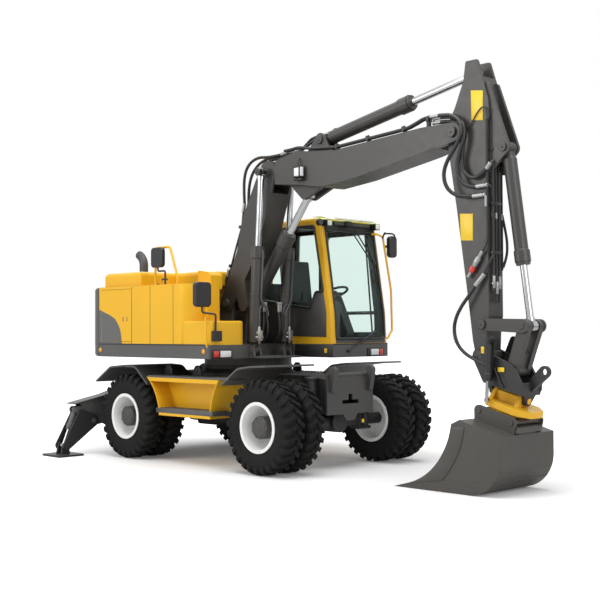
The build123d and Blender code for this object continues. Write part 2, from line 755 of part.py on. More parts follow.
def cab():
    """The cab's frame, its fixed glass, and the door with its own glass."""
    solid = cab_body(0)
    rims = [e for e in solid.edges() if abs((e % 0.5).Y) < 0.1 and e.center().Z > deck_top_z + 5]
    solid = fillet(rims, 38)
    skin = solid - cab_body(cab_wall)
    windows = [
        front_window(0), side_window(0, 150, 300), rear_window(0), left_rear_window(0), roof_window(0),
    ]
    frame = skin - door_prism(0)
    for window in windows:
        frame -= window
    write("cab_shell", UPPER * frame)
    pane = cab_body(glass_inset) - cab_body(glass_inset + glass_thick)
    panes = []
    for window in (front_window(-seat_gap), side_window(-seat_gap, 150, 300), rear_window(-seat_gap),
                   left_rear_window(-seat_gap), roof_window(-seat_gap)):
        panes.append(pane & window)
    write("cab_glass", UPPER * Compound(children=panes))
    door = (skin & door_prism(5)) - door_window(0)
    bar_face_y = cab_left_y - glass_inset - glass_thick - seat_gap
    door += block(260, 1220, cab_left_y - cab_wall, bar_face_y, 1885, 1930)
    write("cab_door", UPPER * door)
    write("door_glass", UPPER * (pane & door_window(-seat_gap)))


def cab_interior():
    """The seat on its pedestal, side consoles, steering column and wheel."""
    middle = (cab_right_y + cab_left_y) / 2
    floor = deck_top_z + cab_wall + seat_gap
    part = block(150, 520, middle - 200, middle + 200, floor, 1900)
    part += fillet(block(130, 640, middle - 250, middle + 250, 1890, 2010).edges(), 40)
    back = outline([(160, 1990), (270, 1990), (190, 2620), (90, 2620)], 30)
    part += side_profile(back, middle - 230, middle + 230)
    for side in (-1, 1):
        part += fillet(block(160, 720, middle + side * 320 - 60, middle + side * 320 + 60, 1930, 2060).edges(), 25)
        part += block(200, 420, middle + side * 290 - 60, middle + side * 290 + 60, 1750, 1940)
        part += Pos(640, middle + side * 320, 2110) * Cylinder(22, 140)
    column = hull_outline([(1120, floor + 80, 80), (930, 2080, 60)])
    part += side_profile(column, middle - 65, middle + 65)
    part += Pos(905, middle, 2170) * Rot(0, -24, 0) * Torus(180, 16)
    part += Pos(905, middle, 2140) * Rot(0, -24, 0) * Cylinder(46, 90)
    part += Pos(905, middle, 2165) * Rot(0, -24, 0) * Box(30, 350, 20)
    write("cab_interior", UPPER * part)


lamp_x = 1225.7
lamp_z = 3048.0


def work_lamps():
    """The roof lamps, and the clear visor over the windscreen in its own node."""
    part = Part()
    for y in (cab_right_y + 65, cab_left_y - 65):
        case = Pos(lamp_x, y, lamp_z) * Box(90, 95, 84)
        part += fillet(case.edges().filter_by(Axis.X), 14)
    visor_side = outline([
        (1020, cab_top_z + 8), (1180, cab_top_z + 4), (1330, cab_top_z - 34), (1330, cab_top_z - 26),
        (1180, cab_top_z + 12), (1020, cab_top_z + 18),
    ])
    visor = side_profile(visor_side, cab_right_y + 10, cab_left_y - 10)
    for y in (cab_right_y + 120, cab_left_y - 120):
        visor += block(1030, 1070, y - 15, y + 15, cab_top_z + seat_gap, cab_top_z + 12)
    write("work_lamps", UPPER * part)
    write("visor", UPPER * visor)


# Boom and arm

lift_offset = 260.0
lift_eye_width = 74.0
base_half = 165.0
boom_half = 190.0
dipper_half = 125.0
rocker_inner = 140.0
rocker_outer = 170.0


def base_boom():
    """The base boom: a box from the deck's bracket to the knuckle, forked at both ends."""
    part = hull_chain([
        (boom_foot[0], boom_foot[1], 120), (452, 2640, 172), (600, 3060, 205), (knuckle_pin[0], knuckle_pin[1], 150),
    ], -base_half, base_half)
    lug = hull_outline([(fold_base[0], fold_base[1], 76), (330, 2330, 110)])
    for side in (-1, 1):
        y0, y1 = sorted((side * 60, side * base_half))
        part += side_profile(lug, y0, y1)
    bracket_room = 145 + side_gap
    foot_room = hull_outline([(boom_foot[0], boom_foot[1], 150), (-300, 1500, 60), (200, 1500, 150)])
    part -= side_profile(foot_room, -bracket_room, bracket_room)
    ram_room = hull_outline([(fold_base[0], fold_base[1], 95), (1180, 2980, 130)])
    part -= side_profile(ram_room, -58, 58)
    knuckle_room = hull_outline([(knuckle_pin[0], knuckle_pin[1], 170), (1300, 3800, 200), (1300, 3400, 200)])
    part -= side_profile(knuckle_room, -(base_half - 30), base_half - 30)
    part -= across(boom_foot, 50 + pin_gap, -300, 300)
    part += across(knuckle_pin, 45, -base_half - 8, base_half + 8)
    part += across(fold_base, 36, -base_half, base_half)
    write("base_boom", BOOM * part)


def lift_rams():
    """The two lift rams, outside the base boom."""
    angle, length = heading(lift_base, knuckle_pin)
    barrels = []
    rods = []
    for side in (-1, 1):
        place = ram_place(lift_base, knuckle_pin, side * lift_offset)
        barrels.append(place * ram_barrel(1310, 74, 60, 68, lift_eye_width, 40, 40, 84))
        rod = ram_rod(760, length, 40, 60, 66, lift_eye_width)
        rods.append(place * rod)
    write("lift_barrels", BOOM * Compound(children=barrels))
    write("lift_rods", BOOM * Compound(children=rods))


def fold_ram():
    """The ram that folds the boom, inside the base boom's fork."""
    place = ram_place(fold_base, fold_eye, 0)
    angle, length = heading(fold_base, fold_eye)
    write("fold_barrel", BOOM * (place * ram_barrel(1130, 86, 70, 72, 104, 36, 46, 175)))
    write("fold_rod", BOOM * (place * ram_rod(560, length, 46, 70, 62, 96)))


def boom():
    """The boom: a box with a kinked back, belly plate, ram ears and a forked nose."""
    shape = outline([
        (1035, 3760), (1100, 3800), (1461, 3868), (1640, 3835), (2078, 3800), (3375, 3888), (3790, 3892),
        (3790, 3700), (3375, 3606), (2390, 3438), (1865, 3384), (1458, 3448), (1035, 3493),
    ], 24)
    part = side_profile(shape, -boom_half, boom_half)
    tongue = hull_outline([(knuckle_pin[0], knuckle_pin[1], 140), (1120, 3650, 130)])
    part += side_profile(tongue, -(base_half - 30 - side_gap), base_half - 30 - side_gap)
    nose = hull_outline([(nose_pin[0], nose_pin[1], 104), (3600, 3760, 120)])
    part += side_profile(nose, -boom_half, boom_half)
    dipper_room = hull_outline([(nose_pin[0], nose_pin[1], 268), (4200, 4300, 200), (4200, 3300, 200)])
    part -= side_profile(dipper_room, -(dipper_half + side_gap), dipper_half + side_gap)
    fold_ear = hull_outline([(fold_eye[0], fold_eye[1], 76), (1250, 3530, 60), (1800, 3470, 60)])
    arm_ear = hull_outline([(arm_base[0], arm_base[1], 82), (1560, 3830, 40), (1890, 3800, 40)])
    for side in (-1, 1):
        y0, y1 = sorted((side * 58, side * 100))
        part += side_profile(fold_ear, y0, y1)
        y0, y1 = sorted((side * 62, side * 96))
        part += side_profile(arm_ear, y0, y1)
    fold_room = hull_outline([(fold_eye[0], fold_eye[1], 150), (1330, 3180, 150)])
    part -= side_profile(fold_room, -56, 56)
    part -= across(knuckle_pin, 45 + pin_gap, -300, 300)
    part += across(nose_pin, 42, -boom_half - 14, boom_half + 14)
    part += across(arm_base, 36, -100, 100)
    write("boom", BOOM * part)


def arm_ram():
    """The ram along the boom's back that swings the dipper."""
    place = ram_place(arm_base, arm_eye, 0)
    angle, length = heading(arm_base, arm_eye)
    write("arm_barrel", BOOM * (place * ram_barrel(1400, 82, 66, 72, 110, 36, 44, 104)))
    write("arm_rod", BOOM * (place * ram_rod(1010, length, 44, 66, 54, 84, 45, 2)))


def dipper():
    """The dipper: a tapered box with ears for both rams and a boss at its tip."""
    shape = outline([
        (3950, 4530), (4100, 4530), (4165, 4330), (4240, 4090), (4252, 3905), (4226, 3860), (4222, 2926), (4226, 1822),
        (4200, 1640), (4190, 1380), (4060, 1360), (4020, 1560), (3946, 2107), (3822, 2957), (3715, 3600), (3706, 3880),
        (3806, 4060), (3918, 4320),
    ], 18)
    part = side_profile(shape, -dipper_half, dipper_half)
    part += across(tip_pin, 92, -dipper_half, dipper_half)
    eye_room = hull_outline([(arm_eye[0], arm_eye[1], 110), (3700, 4420, 110), (4300, 4500, 110), (3900, 4700, 140)])
    part -= side_profile(eye_room, -(dipper_half - 32), dipper_half - 32)
    ear = hull_outline([(curl_base[0], curl_base[1], 74), (4195, 4240, 40), (4200, 3350, 40), (4240, 3960, 40)])
    for side in (-1, 1):
        y0, y1 = sorted((side * 66, side * 100))
        part += side_profile(ear, y0, y1)
    part -= across(nose_pin, 42 + pin_gap, -300, 300)
    part += across(nose_pin, 100, -dipper_half, dipper_half) - across(nose_pin, 42 + pin_gap, -300, 300)
    part += across(curl_base, 34, -104, 104)
    part += across(rocker_pin, 58, -dipper_half, dipper_half)
    part += across(rocker_pin, 36, -rocker_outer - 6, rocker_outer + 6)
    part -= across(tip_pin, 40 + pin_gap, -300, 300)
    write("dipper", BOOM * part)


def curl_ram():
    """The ram on the dipper's front that curls the tool."""
    place = ram_place(curl_base, curl_eye, 0)
    angle, length = heading(curl_base, curl_eye)
    write("bucket_barrel", BOOM * (place * ram_barrel(1235, 72, 58, 66, 120, 34, 38, 96)))
    write("bucket_rod", BOOM * (place * ram_rod(545, length, 38, 58, 60, 84)))


def rocker():
    """The two rocker arms from the dipper to the push link."""
    arm = hull_outline([(rocker_pin[0], rocker_pin[1], 62), (curl_eye[0], curl_eye[1], 70)])
    arms = []
    for side in (-1, 1):
        y0, y1 = sorted((side * rocker_inner, side * rocker_outer))
        plate = side_profile(arm, y0, y1)
        plate -= across(rocker_pin, 36 + pin_gap, -300, 300)
        p0, p1 = sorted((side * 66, side * (rocker_outer + 8)))
        plate += across(curl_eye, 32, p0, p1)
        arms.append(plate)
    write("rocker", BOOM * Compound(children=arms))


def push_link():
    """The link from the rocker to the tool head, two cheeks joined by a tube."""
    cheek = hull_outline([(curl_eye[0], curl_eye[1], 64), (link_pin[0], link_pin[1], 60)])
    part = Part()
    for side in (-1, 1):
        y0, y1 = sorted((side * 64, side * (rocker_inner - side_gap)))
        part += side_profile(cheek, y0, y1)
    part += across(link_pin, 60, -rocker_inner + side_gap, rocker_inner - side_gap)
    web = hull_outline([(4560, 1420, 30), (link_pin[0], link_pin[1], 40)])
    part += side_profile(web, -70, 70)
    part -= across(curl_eye, 32 + pin_gap, -300, 300)
    write("push_link", BOOM * part)


# Tool head, drawn about the dipper's tip pin with its own slope

tool_slope = 15.0
TOOL = Pos(slew_x + tip_pin[0], boom_y, tip_pin[1]) * Rot(0, tool_slope, 0)
rotor_x = 405.0
link_offset = (404.5, -49.0)
tilt_axis_z = -315.0
tilt_ram_y = 250.0
tilt_top = (140.0, 205.0)
tilt_low = (272.0, -395.0)
head_inner = 140.0
head_outer = 168.0
head_floor_z = -250.0
rotor_top_z = -390.0
rotor_drum_z = -455.0
rotor_bottom_z = -490.0
hitch_pin_z = -525.0
hitch_pins_x = (200.0, 610.0)


def tilt_frame():
    """The tool head's upper frame: two cheeks, a belly plate and the tilt rams' ears."""
    part = Part()
    cheek = hull_outline([(0, 0, 78), (link_offset[0], link_offset[1], 74), (560, -190, 60), (150, -190, 60)])
    eye = hull_outline([(715, 30, 62), (620, -110, 50), (600, -170, 40)])
    for side in (-1, 1):
        y0, y1 = sorted((side * head_inner, side * head_outer))
        part += side_profile(cheek, y0, y1)
    part += side_profile(eye, -22, 22)
    part += block(120, 600, -head_outer, head_outer, head_floor_z, head_floor_z + 40)
    part += block(580, 612, -head_outer, head_outer, head_floor_z, -120)
    part -= across((715, 30), 34, -100, 100)
    post = hull_outline([(tilt_top[0], tilt_top[1], 40), (110, -60, 60), (170, -150, 60)])
    post_outer = tilt_ram_y - 46
    post_inner = post_outer - 22
    for side in (-1, 1):
        y0, y1 = sorted((side * post_inner, side * post_outer))
        part += side_profile(post, y0, y1)
        p0, p1 = sorted((side * head_outer, side * post_inner))
        part += block(90, 190, p0, p1, -190, -60)
        q0, q1 = sorted((side * post_inner, side * (tilt_ram_y + 36)))
        part += across(tilt_top, 18, q0, q1)
        b0, b1 = sorted((side * post_outer, side * (tilt_ram_y - 28 - side_gap)))
        part += across(tilt_top, 34, b0, b1)
    part += across((0, 0), 40, -head_outer - 6, head_outer + 6)
    hanger = hull_outline([(0, tilt_axis_z, 56), (-90, head_floor_z + 20, 20), (90, head_floor_z + 20, 20)])
    for x0, x1 in tilt_hangers_x:
        part += cross_profile(hanger, x0, x1)
    part -= Pos(390, 0, tilt_axis_z) * Cylinder(32 + pin_gap, 900, rotation=(0, 90, 0))
    write("tilt_frame", TOOL * part)


tilt_hangers_x = ((140, 185), (560, 605))


def tilt_rams():
    """The two tilt rams beside the tool head: both barrels in one node, each rod its own."""
    angle, length = heading(tilt_top, tilt_low)
    barrels = []
    for side, name in ((-1, "right"), (1, "left")):
        place = Pos(tilt_top[0], side * tilt_ram_y, tilt_top[1]) * Rot(0, -angle, 0)
        barrels.append(place * ram_barrel(415, 38, 28, 32, 56, 18, 17, 44, 8, 18))
        rod = ram_rod(217, length, 17, 28, 26, 30, 15, 2)
        write("tilt_rod_" + name, TOOL * (place * rod))
    write("tilt_barrels", TOOL * Compound(children=barrels))


def rotor():
    """The yellow rotor housing below the tilt axis: ears, a wide body and a round drum."""
    plan = outline([(215, -205), (600, -228), (738, -110), (738, 110), (600, 228), (215, 205)], 50)
    part = Pos(0, 0, rotor_drum_z) * extrude(plan, rotor_top_z - rotor_drum_z)
    part += Pos(rotor_x, 0, (rotor_bottom_z + rotor_drum_z) / 2) * Cylinder(205, rotor_drum_z - rotor_bottom_z)
    ear = hull_outline([(0, tilt_axis_z, 55), (-95, rotor_top_z - 20, 20), (95, rotor_top_z - 20, 20)])
    for x0, x1 in ((tilt_hangers_x[0][1] + side_gap, 235), (505, tilt_hangers_x[1][0] - side_gap)):
        part += cross_profile(ear, x0, x1)
    part += block(230, 510, -46, 46, rotor_top_z - 10, tilt_axis_z + 20)
    part += Pos(372, 0, tilt_axis_z) * Cylinder(32, 480, rotation=(0, 90, 0))
    tab = hull_outline([(tilt_low[0], tilt_low[1], 28), (240, -440, 12), (320, -440, 12)])
    for side in (-1, 1):
        y0, y1 = sorted((side * 180, side * 205))
        part += side_profile(tab, y0, y1)
    write("rotor", TOOL * part)


bucket_half = 475.0
bucket_plate = 18.0


def bucket():
    """The ditching bucket with its hitch ears and the turning head that carries it."""
    ox = tip_pin[0]
    oz = tip_pin[1]
    side = make_face(
        Polyline((3213, 2), (4210, 2)) + ThreePointArc((4210, 2), (4490, 118), (4604, 400))
        + Polyline((4604, 400), (4604, 618), (4097, 760), (3993, 712))
        + ThreePointArc((3993, 712), (3830, 330), (3430, 60)) + Line((3430, 60), (3213, 2))
    )
    t = bucket_plate
    cavity = make_face(
        Polyline((3250, 2 + t + 12), (4205, 2 + t)) + ThreePointArc((4205, 2 + t), (4476, 132), (4604 - t, 402))
        + Polyline((4604 - t, 402), (4604 - t, 604), (4112, 738), (3800, 900), (3100, 900), (3250, 2 + t + 12))
    )
    body = side_profile(side, -bucket_half, bucket_half)
    body -= side_profile(cavity, -bucket_half + 20, bucket_half - 20)
    band = hull_outline([(4135, 690, 26), (3450, 80, 22)])
    for end in (-1, 1):
        y0, y1 = sorted((end * (bucket_half - 1), end * (bucket_half + 9)))
        body += side_profile(band, y0, y1)
    shell = Pos(slew_x, boom_y, 0) * body
    part = Part()
    ear = hull_outline([(hitch_pins_x[0], hitch_pin_z, 58), (hitch_pins_x[1], hitch_pin_z, 58),
                        (hitch_pins_x[1] + 10, -640, 46), (hitch_pins_x[0] + 20, -640, 46)])
    for y_side in (-1, 1):
        y0, y1 = sorted((y_side * 226, y_side * 250))
        part += side_profile(ear, y0, y1)
    for x in hitch_pins_x:
        part += across((x, hitch_pin_z), 30, -262, 262)
    part += block(150, 680, -226, 226, -620, -560)
    turntable_top = rotor_bottom_z - seat_gap
    part += Pos(rotor_x, 0, (turntable_top - 570) / 2) * Cylinder(190, turntable_top + 570)
    part += Pos(rotor_x, 0, -600) * Box(520, 300, 90)
    whole = TOOL * part
    write("bucket", Part() + whole + shell)


def main():
    wheels()
    front_axle()
    knuckles()
    rear_axle()
    chassis_frame()
    front_plate()
    mudguards()
    side_lockers()
    stabiliser_housing()
    stabilisers()
    upper_deck()
    counterweight()
    body_shell()
    engine()
    exhaust()
    engine_hood()
    service_door()
    handrails()
    mirrors()
    cab()
    cab_interior()
    work_lamps()
    base_boom()
    lift_rams()
    fold_ram()
    boom()
    arm_ram()
    dipper()
    curl_ram()
    rocker()
    push_link()
    tilt_frame()
    tilt_rams()
    rotor()
    bucket()


main()
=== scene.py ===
# %% [markdown]
# # A wheeled excavator in a white studio
# The machine's hard parts come ready made, each in its real place, and ride on bodies that
# can move. This lesson lights them, paints them, and adds what a stylist would notice:
# lugs on the tyres, hoses over the joints, lamps, seals, seams and plates. Everything is
# in metres: X runs forward, Y to the machine's left, Z up from the ground.

from math import cos, radians, sin, tau

import bpy
from mathutils import Matrix, Vector


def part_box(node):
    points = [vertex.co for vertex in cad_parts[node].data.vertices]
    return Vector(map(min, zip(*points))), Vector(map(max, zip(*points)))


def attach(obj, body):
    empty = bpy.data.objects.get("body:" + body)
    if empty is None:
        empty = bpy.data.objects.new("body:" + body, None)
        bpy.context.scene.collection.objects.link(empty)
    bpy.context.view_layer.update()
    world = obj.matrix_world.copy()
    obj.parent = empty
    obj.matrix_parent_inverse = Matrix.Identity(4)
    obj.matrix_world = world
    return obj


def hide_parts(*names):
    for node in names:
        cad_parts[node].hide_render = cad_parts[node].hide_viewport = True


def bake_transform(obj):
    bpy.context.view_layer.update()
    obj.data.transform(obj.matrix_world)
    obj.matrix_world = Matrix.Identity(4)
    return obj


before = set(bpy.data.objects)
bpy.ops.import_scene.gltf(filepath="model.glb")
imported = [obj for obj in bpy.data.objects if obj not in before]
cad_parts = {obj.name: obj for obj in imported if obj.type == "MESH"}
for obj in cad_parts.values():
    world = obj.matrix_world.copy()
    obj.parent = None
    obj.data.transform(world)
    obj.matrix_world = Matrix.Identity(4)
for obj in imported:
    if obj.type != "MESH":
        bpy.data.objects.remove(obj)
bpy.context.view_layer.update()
bpy.ops.object.select_all(action="DESELECT")

# %% [markdown]
# ## The camera
# The picture is taken from eye height, about 1.7 m above the ground, with a long lens, so
# that upright edges stay upright. The camera is built from its own three axes, because
# that keeps the tiny roll of a hand-held camera under control.

# %% Camera
camera_place = Vector((9.798, -9.870, 1.697))
camera_turn = radians(45.772)
camera_rise = radians(-1.484)
camera_roll = radians(-0.249)
camera_lens_mm = 66.76


def camera_axes():
    back = Vector((
        sin(camera_turn) * cos(camera_rise),
        -cos(camera_turn) * cos(camera_rise),
        sin(camera_rise),
    ))
    right = Vector((cos(camera_turn), sin(camera_turn), 0))
    up = back.cross(right)
    rolled_right = cos(camera_roll) * right + sin(camera_roll) * up
    rolled_up = cos(camera_roll) * up - sin(camera_roll) * right
    return rolled_right, rolled_up, back


bpy.ops.object.camera_add(location=camera_place)
camera = bpy.context.object
turn = Matrix(camera_axes()).transposed().to_4x4()
camera.matrix_world = Matrix.Translation(camera_place) @ turn
camera.data.lens = camera_lens_mm
camera.data.sensor_width = 36
camera.data.clip_end = 300
bpy.context.scene.camera = camera
bpy.context.scene.view_settings.view_transform = "Standard"
print("camera at", tuple(round(c, 2) for c in camera_place))

# %% [markdown]
# ## Shader nodes in short
# A finish is a small graph of nodes. Written out, each node takes several lines to add,
# set and wire up, so one function does all three. An input that is given a number or a
# colour is set on its own socket, and one that is given another node's output is linked.

# %% Node helpers


def wire(tree, target, values):
    for place, value in values.items():
        if isinstance(value, bpy.types.NodeSocket):
            tree.links.new(value, target.inputs[place])
        else:
            target.inputs[place].default_value = value


def add_node(tree, kind, values=None, operation=None):
    new = tree.nodes.new("ShaderNode" + kind)
    if operation:
        new.operation = operation
    wire(tree, new, values or {})
    return new


def maths(tree, operation, *values):
    return add_node(tree, "Math", dict(enumerate(values)), operation).outputs[0]


def mixed(tree, factor, first, second):
    values = {"Fac": factor, "Color1": first, "Color2": second}
    return add_node(tree, "MixRGB", values).outputs[0]


def ramp(tree, factor, colours, places=(0.0, 1.0)):
    tint = add_node(tree, "ValToRGB", {"Fac": factor})
    for stop, colour, place in zip(tint.color_ramp.elements, colours, places):
        stop.color = colour
        stop.position = place
    return tint.outputs["Color"]


def cleared(owner):
    owner.use_nodes = True
    owner.node_tree.nodes.clear()
    return owner.node_tree


# %% [markdown]
# ## Floor, lamps and sky
# A product picture is lit by big soft boxes: one overhead, one from the camera's left, and
# weaker ones from the right and from behind. The sky looks white to the camera, to mirrors
# and to glass through the Light Path node, so the lamps need not be turned up until the
# machine is washed out. The floor glows white past an oval round the machine, and within
# it keeps the shadow.

# %% Studio
floor_half = 90.0
floor_colour = (0.86, 0.86, 0.86, 1)
white = (1, 1, 1, 1)
sky_strength = 0.42
shadow_oval = (3.4, 2.1)
glow_starts, glow_full = 0.75, 1.9
glow_near, glow_far = 0.08, 1.0
lamps = [
    # name, place, aim, size, watts
    ("overhead box", (1.5, -1.5, 9.0), (0, 0, 0.8), 9.0, 660),
    ("left box", (-4.0, -10.5, 5.5), (-0.5, 0, 1.5), 6.0, 430),
    ("front box", (11.0, -2.0, 5.0), (0.5, 0, 1.6), 5.0, 265),
    ("rear box", (-9.0, 6.0, 6.5), (0, 0, 1.8), 6.0, 250),
]


def studio_sky():
    sky = bpy.data.worlds.new("studio sky")
    bpy.context.scene.world = sky
    tree = cleared(sky)
    path = add_node(tree, "LightPath").outputs
    seen = maths(tree, "MAXIMUM", path["Is Camera Ray"], path["Is Glossy Ray"])
    seen = maths(tree, "MAXIMUM", seen, path["Is Transmission Ray"])
    light = add_node(tree, "Background", {"Color": white, "Strength": sky_strength})
    bright = add_node(tree, "Background", {"Color": white, "Strength": 1.0})
    mix = add_node(tree, "MixShader", {0: seen, 1: light.outputs[0], 2: bright.outputs[0]})
    add_node(tree, "OutputWorld", {"Surface": mix.outputs[0]})


def floor_look():
    """White to the eye far off; near the machine it keeps the shadow."""
    look = bpy.data.materials.new("white floor")
    tree = cleared(look)
    paint = add_node(tree, "BsdfDiffuse", {"Color": floor_colour})
    where = add_node(tree, "TexCoord").outputs["Object"]
    oval = add_node(tree, "VectorMath", {0: where, 1: (*shadow_oval, 1.0)}, "DIVIDE")
    reach = add_node(tree, "VectorMath", {0: oval.outputs[0]}, "LENGTH").outputs["Value"]
    fade = add_node(tree, "MapRange", {"Value": reach, "From Min": glow_starts, "From Max": glow_full,
                                       "To Min": glow_near, "To Max": glow_far})
    fade.interpolation_type = "SMOOTHSTEP"
    shine = add_node(tree, "Emission", {"Strength": fade.outputs[0]})
    dark = add_node(tree, "Emission", {"Strength": 0})
    seen = add_node(tree, "LightPath").outputs["Is Camera Ray"]
    glow = add_node(tree, "MixShader", {0: seen, 1: dark.outputs[0], 2: shine.outputs[0]})
    both = add_node(tree, "AddShader", {0: paint.outputs[0], 1: glow.outputs[0]})
    add_node(tree, "OutputMaterial", {"Surface": both.outputs[0]})
    return look


studio_sky()
bpy.ops.mesh.primitive_plane_add(size=2 * floor_half, location=(0, 0, 0))
floor = bpy.context.object
floor.name = "floor"
floor.data.materials.append(floor_look())
for name, place, aim, size, watts in lamps:
    bpy.ops.object.light_add(type="AREA", location=place)
    lamp = bpy.context.object
    lamp.name = name
    lamp.data.shape = "DISK"
    lamp.data.size = size
    lamp.data.energy = watts
    facing = Vector(aim) - Vector(place)
    lamp.rotation_euler = facing.to_track_quat("-Z", "Y").to_euler()
print("lamps", len(lamps))

# %% [markdown]
# ## Finishes
# A flat colour looks like plastic. Real paint varies a little from panel to panel, is
# never equally glossy, collects a film of dust where it faces up, and has edges that
# catch the light. One function builds such a finish from Object coordinates: a slow noise
# for the colour, a finer one for the gloss, a grain for the bump, and a Bevel node that
# rounds the light on every hard edge.

# %% A finish from noise
dust_colour = (0.42, 0.40, 0.36, 1)
dust_slope = 0.2
gloss_spread = 0.08
grain_depth = 0.002
coat_rough = 0.12


def scaled(colour, factor):
    return (*(part * factor for part in colour), 1)


def finish(name, colour, rough, metal=0.0, patch=0.08, patch_scale=1.6, grain=0.0,
           grain_scale=160.0, dust=0.0, edge=0.004, coat=0.0, mirror=0.5):
    look = bpy.data.materials.new(name)
    look.use_nodes = True
    tree = look.node_tree
    where = add_node(tree, "TexCoord").outputs["Object"]
    slow = add_node(tree, "TexNoise", {"Vector": where, "Scale": patch_scale, "Detail": 4})
    tints = (scaled(colour, 1 - patch), scaled(colour, 1 + patch))
    paint = ramp(tree, slow.outputs["Fac"], tints, (0.3, 0.7))
    fine = add_node(tree, "TexNoise", {"Vector": where, "Scale": 7 * patch_scale, "Detail": 6})
    gloss = add_node(tree, "MapRange", {"Value": fine.outputs["Fac"],
                                        "To Min": max(0.02, rough - gloss_spread),
                                        "To Max": min(1.0, rough + gloss_spread)})
    if dust:
        facing = add_node(tree, "NewGeometry").outputs["Normal"]
        upward = add_node(tree, "SeparateXYZ", {0: facing}).outputs["Z"]
        film = add_node(tree, "MapRange", {"Value": upward, "From Min": dust_slope,
                                           "From Max": 1.0, "To Max": dust})
        uneven = maths(tree, "MULTIPLY", film.outputs[0], fine.outputs["Fac"])
        paint = mixed(tree, uneven, paint, dust_colour)
    soft_edge = add_node(tree, "Bevel", {"Radius": edge})
    soft_edge.samples = 4
    surface = soft_edge.outputs[0]
    if grain:
        speck = add_node(tree, "TexNoise", {"Vector": where, "Scale": grain_scale})
        surface = add_node(tree, "Bump", {"Strength": grain, "Distance": grain_depth, "Normal": surface,
                                          "Height": speck.outputs["Fac"]}).outputs[0]
    wire(tree, tree.nodes["Principled BSDF"], {
        "Base Color": paint, "Roughness": gloss.outputs[0], "Normal": surface, "Metallic": metal,
        "Specular IOR Level": mirror, "Coat Weight": coat, "Coat Roughness": coat_rough})
    return look


# %% [markdown]
# ## The finishes by name
# Enamels differ in colour, patchiness and grain, and share how they collect dust. Rubber
# is nearly black and hardly mirrors, chrome is all mirror, and zinc is a dull metal.

# %% The machine's finishes
enamel = {"dust": 0.06, "edge": 0.006}
body_enamel = {"patch": 0.03, "grain": 0.03, "dust": 0.02, "edge": 0.006, "coat": 0.05, "mirror": 0.35}
lens_gloss = {"patch": 0.05, "coat": 0.5}
machine_yellow = (0.80, 0.44, 0.016)
yellow = finish("yellow enamel", machine_yellow, 0.36, **body_enamel)
boom_grey = finish("dark grey enamel", (0.040, 0.037, 0.033), 0.42, grain=0.05, **enamel)
bucket_grey = finish("bucket grey", (0.055, 0.050, 0.043), 0.46, patch=0.10, grain=0.08, **enamel)
skirt_grey = finish("mid grey enamel", (0.080, 0.079, 0.077), 0.45, patch=0.06, grain=0.05, **enamel)
plate_grey = finish("plate grey", (0.052, 0.050, 0.048), 0.45, grain=0.06, **enamel)
frame_black = finish("frame black", (0.016, 0.016, 0.016), 0.50, patch=0.15, grain=0.10, dust=0.08)
rubber = finish("tyre rubber", (0.0085, 0.0083, 0.0080), 0.78, patch=0.18, grain=0.25, grain_scale=240,
                dust=0.02, mirror=0.2)
hose_rubber = finish("hose rubber", (0.010, 0.010, 0.0105), 0.42, patch=0.15, grain=0.10, grain_scale=500)
rim_white = finish("off-white enamel", (0.86, 0.86, 0.84), 0.34, patch=0.02)
chrome = finish("hard chrome", (0.46, 0.47, 0.48), 0.16, metal=1.0, patch=0.03, edge=0.001)
zinc = finish("zinc plate", (0.34, 0.345, 0.34), 0.40, metal=0.85, patch=0.12, patch_scale=30)
black_plastic = finish("black plastic", (0.010, 0.0105, 0.012), 0.38, patch=0.06, grain=0.12, grain_scale=700)
cab_dark = finish("cab trim", (0.022, 0.026, 0.026), 0.62, patch=0.12, grain=0.15, grain_scale=420)
cab_grey = finish("cab lining", (0.060, 0.066, 0.064), 0.55, patch=0.10, grain=0.12, grain_scale=420)
engine_iron = finish("engine iron", (0.055, 0.056, 0.058), 0.55, patch=0.25, patch_scale=6, grain=0.4,
                     grain_scale=90)
amber = finish("amber lens", (0.86, 0.36, 0.03), 0.18, grain=0.2, grain_scale=300, **lens_gloss)
red_lens = finish("red lens", (0.60, 0.03, 0.02), 0.16, grain=0.2, grain_scale=300, **lens_gloss)
white_lens = finish("white lens", (0.78, 0.79, 0.80), 0.12, grain=0.3, grain_scale=260, **lens_gloss)
plate_yellow = finish("plate yellow", (0.84, 0.56, 0.02), 0.35, patch=0.03)
swoosh_grey = finish("side field grey", (0.105, 0.106, 0.106), 0.40, patch=0.04, grain=0.04)
print("finishes", len(bpy.data.materials))

# %% [markdown]
# ## Glass
# Safety glass is a thin sheet with a faint green tint. A Principled shader with full
# transmission bends and tints the light as the real pane does.

# %% Glass finishes


def glass(name, colour, rough):
    look = bpy.data.materials.new(name)
    look.use_nodes = True
    tree = look.node_tree
    where = add_node(tree, "TexCoord").outputs["Object"]
    haze = add_node(tree, "TexNoise", {"Vector": where, "Scale": 3.0}).outputs["Fac"]
    wipe = add_node(tree, "MapRange", {"Value": haze, "To Min": rough, "To Max": rough + 0.02})
    wire(tree, tree.nodes["Principled BSDF"], {
        "Transmission Weight": 1.0, "IOR": 1.12, "Roughness": wipe.outputs[0],
        "Base Color": ramp(tree, haze, (scaled(colour, 0.97), scaled(colour, 1.0)))})
    return look


cab_glass = glass("cab glass", (0.86, 0.95, 0.92), 0.0)
visor_green = glass("visor green", (0.62, 0.80, 0.34), 0.02)
print("glass", cab_glass.name, "and", visor_green.name)
